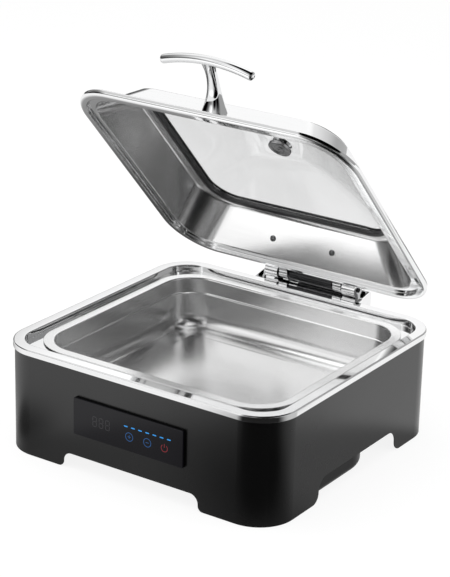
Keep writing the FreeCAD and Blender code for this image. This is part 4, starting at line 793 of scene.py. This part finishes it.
@dataclass
class Handle:
    """Waisted stem on the lid's front wall, with a bowed bar."""

    foot_y: float = -359.525
    foot_z: float = 14.15
    slope: float = math.atan2(43.1, 24.1)
    length: float = 68.9
    bar_radius: float = 5.5
    span: float = 129.0
    bow: float = 9.4
    lean: float = math.radians(38.1)
    stem_bow: float = 6.5
    waist: float = 0.7
    waist_width: float = 13.6
    waist_height: float = 10.8
    foot_width: float = 32.0
    foot_height: float = 27.0
    head_width: float = 20.5
    end_length: float = 4.2
    end_power: float = 2.2

    def build(self) -> None:
        """Make the stem and the bar."""
        self.build_stem()
        self.build_bar()

    def build_stem(self) -> None:
        """Make the stem: rounded sections on a bowed line, flaring by powers from the waist."""
        along = np.linspace(0, 1, 56)
        below = np.clip(1 - along / self.waist, 0, 1)
        over = np.clip((along - self.waist) / (1 - self.waist), 0, 1)
        width = (self.waist_width + (self.foot_width - self.waist_width) * below ** 2
                 + (self.head_width - self.waist_width) * over ** 2)
        height = self.waist_height + (self.foot_height - self.waist_height) * below ** 2.5
        angle = np.linspace(0, 2 * np.pi, 64, endpoint=False)
        power = 2 / 2.5
        round_x, round_z = (np.sign(v) * np.abs(v) ** power for v in (np.cos(angle), np.sin(angle)))
        grid = np.stack([width[:, None] / 2 * round_x[None],
                         np.broadcast_to(-along[:, None] * self.length, (len(along), 64)),
                         height[:, None] / 2 * round_z[None]], axis=-1)
        grid[..., 2] += 4 * self.stem_bow * (along * (1 - along))[:, None]
        placed = rolled(grid, self.slope - math.pi / 2, self.foot_y, self.foot_z)
        made = surface("handle_stem_smooth", [on_lid(placed)], CHROME, "lid", sharp=60.0)
        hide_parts("handle_stem")

    def build_bar(self) -> None:
        """Make the bar: a circle carried along an arc, closing to a rounded end."""
        sweep = ((self.span / 2) ** 2 + self.bow ** 2) / (2 * self.bow)
        half = math.asin(self.span / 2 / sweep)
        tip = np.linspace(0.93, 1, 12)
        share = np.concatenate([-tip[::-1], np.linspace(-0.92, 0.92, 61), tip])
        left = (1 - np.abs(share)) * half * sweep
        nose, power = np.clip(left / self.end_length, 0, 1), self.end_power
        radius = self.bar_radius * np.maximum(1 - (1 - nose) ** power, 0) ** (1 / power)
        radius = np.maximum(radius, 0.02)
        phi = share * half
        angle = np.linspace(0, 2 * np.pi, 40, endpoint=False)
        out = radius[:, None] * np.cos(angle)[None]
        up = radius[:, None] * np.sin(angle)[None]
        reach = sweep - out
        grid = np.stack([np.sin(phi)[:, None] * reach, sweep - np.cos(phi)[:, None] * reach, up], axis=-1)
        bar_y = self.foot_y - self.length * math.sin(self.slope)
        bar_z = self.foot_z + self.length * math.cos(self.slope)
        placed = rolled(grid, -self.lean, bar_y, bar_z)
        made = surface("handle_bar_smooth", [on_lid(placed)], CHROME, "lid", sharp=60.0)
        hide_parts("handle_bar")


# The control panel


class Sign(Enum):
    """Signs on the touch keys."""

    PLUS = "plus"
    MINUS = "minus"
    POWER = "power"


@dataclass
class Panel:
    """Black glass of the control panel with its digits, lights and signs."""

    width: float = 158.0
    height: float = 46.7
    middle: float = 73.6
    face: float = -190.92
    back: float = -189.0
    proud: float = 0.05
    sunk: float = 0.02
    digit_places: tuple[float, ...] = (-47.6, -38.2, -28.8)
    digit_up: float = 0.7
    digit_width: float = 5.4
    digit_step: float = 6.0
    digit_stroke: float = 1.05
    lights: int = 7
    light_pitch: float = 10.22
    light_middle: float = 28.55
    sign_up: float = -4.9
    stroke: float = 0.8

    def build(self) -> None:
        """Make the glass and everything printed on it."""
        plate = Ring(self.width, self.height, 1.5, 0.0)
        depth = self.back - self.face
        rings = [plate.inset(1.0, 0.0), plate.inset(0.0, 0.0, 0.45), plate.inset(0.0, depth)]
        grid = stacked(softened(rings, 4), 6, 6)
        upright = np.stack([grid[..., 0], grid[..., 2] + self.face, grid[..., 1] + self.middle], axis=-1)
        made = surface("panel_glass_face", [on_case(upright)], PANEL_GLASS, "base")
        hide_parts("panel_glass")
        self.print_on("panel_digits", [g for x in self.digit_places for g in self.digit(x)], DIGITS)
        places = (np.arange(self.lights) - (self.lights - 1) / 2) * self.light_pitch + self.light_middle
        self.print_on("panel_lights", [self.bar(x, 7.35, 5.4, 1.5) for x in places], BLUE_LIGHT)
        for sign, x in ((Sign.PLUS, 2.8), (Sign.MINUS, 28.7), (Sign.POWER, 53.0)):
            finish = RED_SIGN if sign is Sign.POWER else BLUE_SIGN
            self.print_on("panel_sign_" + sign.value, self.sign(sign, x), finish)

    def print_on(self, name: str, flat: Iterable[Array], finish: Look) -> None:
        """Lay flat grids on the glass as thin raised prints.

        Args:
            name: name of the piece.
            flat: grids across and up from the panel's middle.
            finish: finish of the print.
        """
        grids = []
        for grid in flat:
            lined = np.pad(grid, ((1, 1), (1, 1), (0, 0)), mode="edge")
            level = np.pad(np.full(grid.shape[:2], -self.proud), 1, constant_values=self.sunk)
            grids.append(np.stack([lined[..., 0], level + self.face, lined[..., 1] + self.middle], axis=-1))
        surface(name, [on_case(g) for g in grids], finish, "base", Ends.OPEN, 60.0, around=False)

    def bar(self, x: float, up: float, long: float, thick: float, steep: float = 0.0) -> Array:
        """A flat bar, its ends narrowed: half its thickness shrinks by the sixth power of the place.

        Args:
            x: middle across.
            up: middle upwards.
            long: length.
            thick: thickness.
            steep: 1 for an upright bar.

        Returns:
            Flat grid of the bar.
        """
        t = np.linspace(-1, 1, 13)[:, None]
        s = np.array([-1.0, 1.0])[None]
        narrow = 1 - 0.6 * np.abs(t) ** 6
        run, wide = t * long / 2 + 0 * s, s * thick / 2 * narrow
        across, rise = (wide, run) if steep else (run, wide)
        return np.stack([across + x, rise + up], axis=-1)

    def arc(self, x: float, up: float, radius: float, thick: float, start: float, turn: float) -> Array:
        """A part of a flat ring: the radius runs across its thickness and the angle along it.

        Args:
            x: middle across.
            up: middle upwards.
            radius: radius of the middle line.
            thick: thickness.
            start: angle in degrees at which it starts.
            turn: angle in degrees that it covers.

        Returns:
            Flat grid of the arc.
        """
        angle = np.radians(start + np.linspace(0, turn, 49))[:, None]
        reach = radius + np.array([-0.5, 0.5])[None] * thick
        return np.stack([np.cos(angle) * reach + x, np.sin(angle) * reach + up], axis=-1)

    def digit(self, x: float) -> list[Array]:
        """The seven bars of one digit.

        Args:
            x: middle of the digit across.

        Returns:
            Flat grids of the seven bars.
        """
        up, wide, high, thick = self.digit_up, self.digit_width, self.digit_step, self.digit_stroke
        level = [self.bar(x, up + share * high, wide - 0.6, thick) for share in (-1, 0, 1)]
        upright = [self.bar(x + across * wide / 2, up + share * high, high - 0.6, thick, 1.0)
                   for across in (-1, 1) for share in (-0.5, 0.5)]
        return level + upright

    def sign(self, sign: Sign, x: float) -> list[Array]:
        """The lines of one sign.

        Args:
            sign: which sign.
            x: middle of the sign across.

        Returns:
            Flat grids of its lines.
        """
        up, stroke = self.sign_up, self.stroke
        if sign is Sign.POWER:
            thick = stroke + 0.05
            return [self.arc(x, up, 4.4, thick, 128.0, 284.0), self.bar(x, up + 3.0, 5.0, thick, 1.0)]
        lines = [self.arc(x, up, 5.2, stroke, 0.0, 360.0), self.bar(x, up, 4.6, stroke)]
        if sign is Sign.PLUS:
            lines.append(self.bar(x, up, 4.6, stroke, 1.0))
        return lines


# Fasteners


@dataclass
class LidScrews:
    """Screws inside the lid that hold the hinge arms: domed heads with a cross recess."""

    spread: float = 44.3
    level: float = 23.7
    radius: float = 4.0
    height: float = 2.2
    cross_reach: float = 2.3
    cross_half: float = 0.62
    cross_depth: float = 1.3

    def build(self) -> None:
        """Make both heads as a height over a disc: a dome less a cross shaped dip."""
        shell = LidShell()
        mouth, top, edge = shell.mouth, shell.top, shell.rim.level
        wall = mouth.depth / 2 + shell.sheet
        run, rise = wall - top.depth / 2 + mouth.middle - top.middle, top.level - mouth.level
        slope = math.atan2(rise, run)
        y = mouth.middle + wall - (self.level - (mouth.level - edge)) * run / rise
        z = edge + self.level
        ring = np.linspace(1, 0, 22)[:, None] * self.radius
        angle = np.linspace(0, 2 * np.pi, 72, endpoint=False)[None]
        across, along = ring * np.cos(angle), ring * np.sin(angle)
        out = ring / self.radius + 0 * angle
        dome = self.height * (1 - 0.35 * out ** 2 - 0.25 * out ** 8)
        arm = np.minimum(np.abs(across), np.abs(along))
        length = np.maximum(np.abs(across), np.abs(along))
        dip = np.clip((self.cross_half - arm) / 0.25, 0, 1) * np.clip((self.cross_reach - length) / 0.4, 0, 1)
        head = -1.0 - (dome - self.cross_depth * dip)
        skirt = np.stack([across[:1], along[:1], np.full_like(across[:1], -0.95)], axis=-1)
        grid = np.concatenate([skirt, np.stack([across, along, head], axis=-1)])
        for name, side in (("left", -1), ("right", 1)):
            placed = rolled(grid, -slope, y, z)
            placed[..., 0] += side * self.spread
            made = surface("lid_screw_head_" + name, [on_lid(placed)], SLOT_FINISHES["screw_steel"], "lid",
                           sharp=40.0)
            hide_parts("lid_screw_" + name)


# Light, floor and camera


@dataclass(frozen=True)
class Patch:
    """A soft round patch that only shiny surfaces see: a smooth step of its measure."""

    centre: Colour
    measure: str
    inside: float
    outside: float
    level: float


def above(azimuth: float, elevation: float, inner: float, outer: float, level: float) -> Patch:
    """Patch of the surround, whose measure is the cosine of the angle from its direction.

    Args:
        azimuth: direction from the front towards the right, in degrees.
        elevation: height of the direction, in degrees.
        inner: angle up to which the patch has its own level.
        outer: angle from which it has gone.
        level: brightness of the patch, as a factor.

    Returns:
        The patch.
    """
    az, el = math.radians(azimuth), math.radians(elevation)
    way = (math.sin(az) * math.cos(el), -math.cos(az) * math.cos(el), math.sin(el))
    return Patch(way, "DOT_PRODUCT", math.cos(math.radians(inner)), math.cos(math.radians(outer)), level)


def below(x: float, y: float, inner: float, outer: float, level: float) -> Patch:
    """Patch of the floor, whose measure is the distance from its middle in metres.

    Args:
        x: middle across.
        y: middle to the back.
        inner: distance up to which the patch has its own level.
        outer: distance from which it has gone.
        level: brightness of the patch, as a factor.

    Returns:
        The patch.
    """
    return Patch((x, y, 0.0), "DISTANCE", inner, outer, level)


@dataclass
class Studio:
    """Pale floor, soft lamps, a white surround and the camera."""

    target: Colour = (-0.13772, 0.19335, 0.1)
    azimuth: float = 0.5936
    elevation: float = 0.3627
    roll: float = -0.025
    distance: float = 2.77026
    lens: float = 129.53
    surround_level: float = 0.7
    surround: ClassVar[tuple[Patch, ...]] = (
        above(66, 67, 41, 46, 0.0), above(44, -4, 9, 51, 0.0), above(233, 1, 3, 28, 0.01),
        above(293, -1, 15, 56, 0.0), above(128, 10, 43, 75, 0.52), above(-3, 37, 8, 19, 0.27),
        above(201, 20, 15, 20, 1.43), above(315, 23, 21, 26, 1.66), above(315, 25, 8, 12, 2.1),
        above(233, 46, 20, 30, 1.46), above(270, 22, 9, 26, 0.63), above(0, -1, 10, 23, 0.0),
        above(332, 11, 5, 9, 2.0), above(182, 67, 10, 28, 1.33))
    floor_level: float = 0.95
    # Floor as shiny surfaces mirror it: painted shade near the case and painted pools of light farther out,
    # seen only in reflections.
    floor: ClassVar[tuple[Patch, ...]] = (
        below(1.82, -2.45, 1.96, 2.86, 0.0), below(-0.24, -0.25, 0.03, 0.1, 0.12),
        below(0.25, 1.06, 0.41, 0.46, 0.0), below(-0.37, 0.25, 0.02, 0.64, 0.06),
        below(0.36, -0.49, 0.28, 0.46, 0.02), below(-0.48, -1.47, 0.13, 0.8, 2.0),
        below(0.11, -0.14, 0.28, 0.33, 0.43), below(0.74, 0.05, 0.35, 0.4, 0.58),
        below(-0.15, 0.9, 0.19, 0.57, 1.13))

    def build(self) -> None:
        """Set the view settings and make the whole studio."""
        bpy.context.scene.view_settings.view_transform = "Standard"
        self.build_camera()
        self.build_world()
        self.build_floor()
        self.lamp("lamp_top", (-0.3, -0.2, 2.2), (0.0, 0.0, 0.15), 2.4, 22.0)
        self.lamp("lamp_left", (-2.2, -1.2, 1.3), (0.0, 0.0, 0.2), 1.6, 16.0)
        self.lamp("lamp_right", (2.2, 0.4, 1.2), (0.0, 0.0, 0.2), 1.6, 12.0)

    def build_camera(self) -> None:
        """Place the camera at the photograph's angle, rolled a little."""
        az, el = self.azimuth, self.elevation
        back = Vector((math.sin(az) * math.cos(el), -math.cos(az) * math.cos(el), math.sin(el)))
        right = (-back).cross(Vector((0, 0, 1))).normalized()
        down = (-back).cross(right).normalized()
        c, s = math.cos(self.roll), math.sin(self.roll)
        across, drop = right * c + down * s, down * c - right * s
        camera = linked("camera", bpy.data.cameras.new("camera"))
        camera.data.lens = self.lens
        camera.data.sensor_width = 36.0
        camera.data.clip_start, camera.data.clip_end = 0.05, 60.0
        turn = Matrix((across, -drop, back)).transposed().to_4x4()
        camera.matrix_world = Matrix.Translation(Vector(self.target) + back * self.distance) @ turn
        bpy.context.scene.camera = camera

    def build_world(self) -> None:
        """White surround with soft patches that only shiny surfaces mirror."""
        world = bpy.data.worlds.new("studio")
        world.use_nodes = True
        world.node_tree.nodes.clear()
        graph = Graph(world.node_tree)
        place, path = graph.node("ShaderNodeTexCoord"), graph.node("ShaderNodeLightPath")
        tone = self.patched(graph, place["Generated"], self.surround, self.surround_level)
        matt = graph.blended(path["Is Diffuse Ray"], 1.0, 0.55)
        strength = graph.blended(self.mirrored(graph, path), matt, tone)
        light = graph.node("ShaderNodeBackground", {"Color": (1, 1, 1, 1), "Strength": strength})
        graph.node("ShaderNodeOutputWorld", {0: light[0]})
        bpy.context.scene.world = world

    def build_floor(self) -> None:
        """Plain pale floor: white with a soft shadow to the camera, and patched for shiny surfaces with
        painted shade near the case and painted pools of light.
        """
        mesh = bpy.data.meshes.new("floor")
        mesh.from_pydata([(-8, -8, 0), (8, -8, 0), (8, 8, 0), (-8, 8, 0)], [], [(0, 1, 2, 3)])
        material = bpy.data.materials.new("pale floor")
        material.use_nodes = True
        material.node_tree.nodes.clear()
        graph = Graph(material.node_tree)
        place, path = graph.node("ShaderNodeTexCoord"), graph.node("ShaderNodeLightPath")
        matt = graph.node("ShaderNodeBsdfDiffuse", {0: (0.17, 0.17, 0.17, 1)})
        plain = graph.blended(path["Is Diffuse Ray"], 0.87, 0.2)
        lift = graph.node("ShaderNodeEmission", {"Strength": plain})
        pale = graph.node("ShaderNodeAddShader", {0: matt[0], 1: lift[0]})
        # Painted shade and painted light on the floor, which only mirrored rays see.
        tone = self.patched(graph, place["Object"], self.floor, self.floor_level)
        mirrored_floor_shade_and_light = graph.node("ShaderNodeEmission", {"Strength": tone})
        both = graph.node("ShaderNodeMixShader", {0: self.mirrored(graph, path), 1: pale[0], 2: mirrored_floor_shade_and_light[0]})
        graph.node("ShaderNodeOutputMaterial", {0: both[0]})
        mesh.materials.append(material)
        floor = linked("floor", mesh)

    def mirrored(self, graph: Graph, path: bpy.types.NodeOutputs) -> Socket:
        """Whether a shiny surface mirrors the place, be it through glass: glossy depth less a diffuse ray.

        Args:
            graph: graph to add to.
            path: outputs of its light path.

        Returns:
            Socket with 1 for a mirrored ray and 0 for any other.
        """
        depth = graph.node("ShaderNodeMath", {0: path["Glossy Depth"], 1: 1.0}, operation="MINIMUM")
        less = {0: depth[0], 1: path["Is Diffuse Ray"]}
        return graph.node("ShaderNodeMath", less, operation="SUBTRACT", use_clamp=True)[0]

    def patched(self, graph: Graph, where: Socket, patches: Sequence[Patch],
                level: float) -> Socket:
        """Brightness: a level times the smooth step of each patch, from its own level to 1.

        Args:
            graph: graph to add to.
            where: socket with the direction or the place.
            patches: the patches.
            level: brightness outside all patches.

        Returns:
            Socket with the brightness.
        """
        tone = level
        for patch in patches:
            measure = graph.node("ShaderNodeVectorMath", {0: where, 1: patch.centre}, operation=patch.measure)
            edge = graph.node("ShaderNodeMapRange", {
                "Value": measure["Value"], "From Min": patch.inside, "From Max": patch.outside,
                "To Min": patch.level, "To Max": 1.0}, interpolation_type="SMOOTHSTEP")
            tone = graph.node("ShaderNodeMath", {0: edge[0], 1: tone}, operation="MULTIPLY")[0]
        return tone

    def lamp(self, name: str, at: Colour, towards: Colour, size: float, power: float) -> None:
        """A square soft lamp that the camera doesn't see.

        Args:
            name: name of the lamp.
            at: where it stands.
            towards: the point it faces.
            size: side of the lamp.
            power: power in watts.
        """
        data = bpy.data.lights.new(name, "AREA")
        data.shape, data.size, data.energy = "SQUARE", size, power
        made = linked(name, data)
        aim = Vector(towards) - Vector(at)
        made.matrix_world = Matrix.Translation(Vector(at)) @ aim.to_track_quat("-Z", "Y").to_matrix().to_4x4()
        made.visible_camera = False
        made.visible_glossy = False


def dress_nodes() -> None:
    """Give every CAD node the finish of its own slot, or its own finish where it has one."""
    for name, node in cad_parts.items():
        slot = node.material_slots[0].material.name.split(".")[0]
        finish = NODE_FINISHES.get(name, SLOT_FINISHES[slot])
        node.material_slots[0].material = finish.material()
        LOG.info("%s wears %s", name, finish.title)


def main() -> None:
    """Build the studio, dress the CAD nodes and add the fine pieces."""
    logging.basicConfig(level=logging.INFO, format="%(name)s %(message)s")
    Studio().build()
    dress_nodes()
    for part in (TopFrame(), FoodPan(), LidShell(), Window(), Vent(), Handle(), Panel(), LidScrews()):
        part.build()
        LOG.info("%s done", type(part).__name__)


if __name__ == "__main__":
    main()
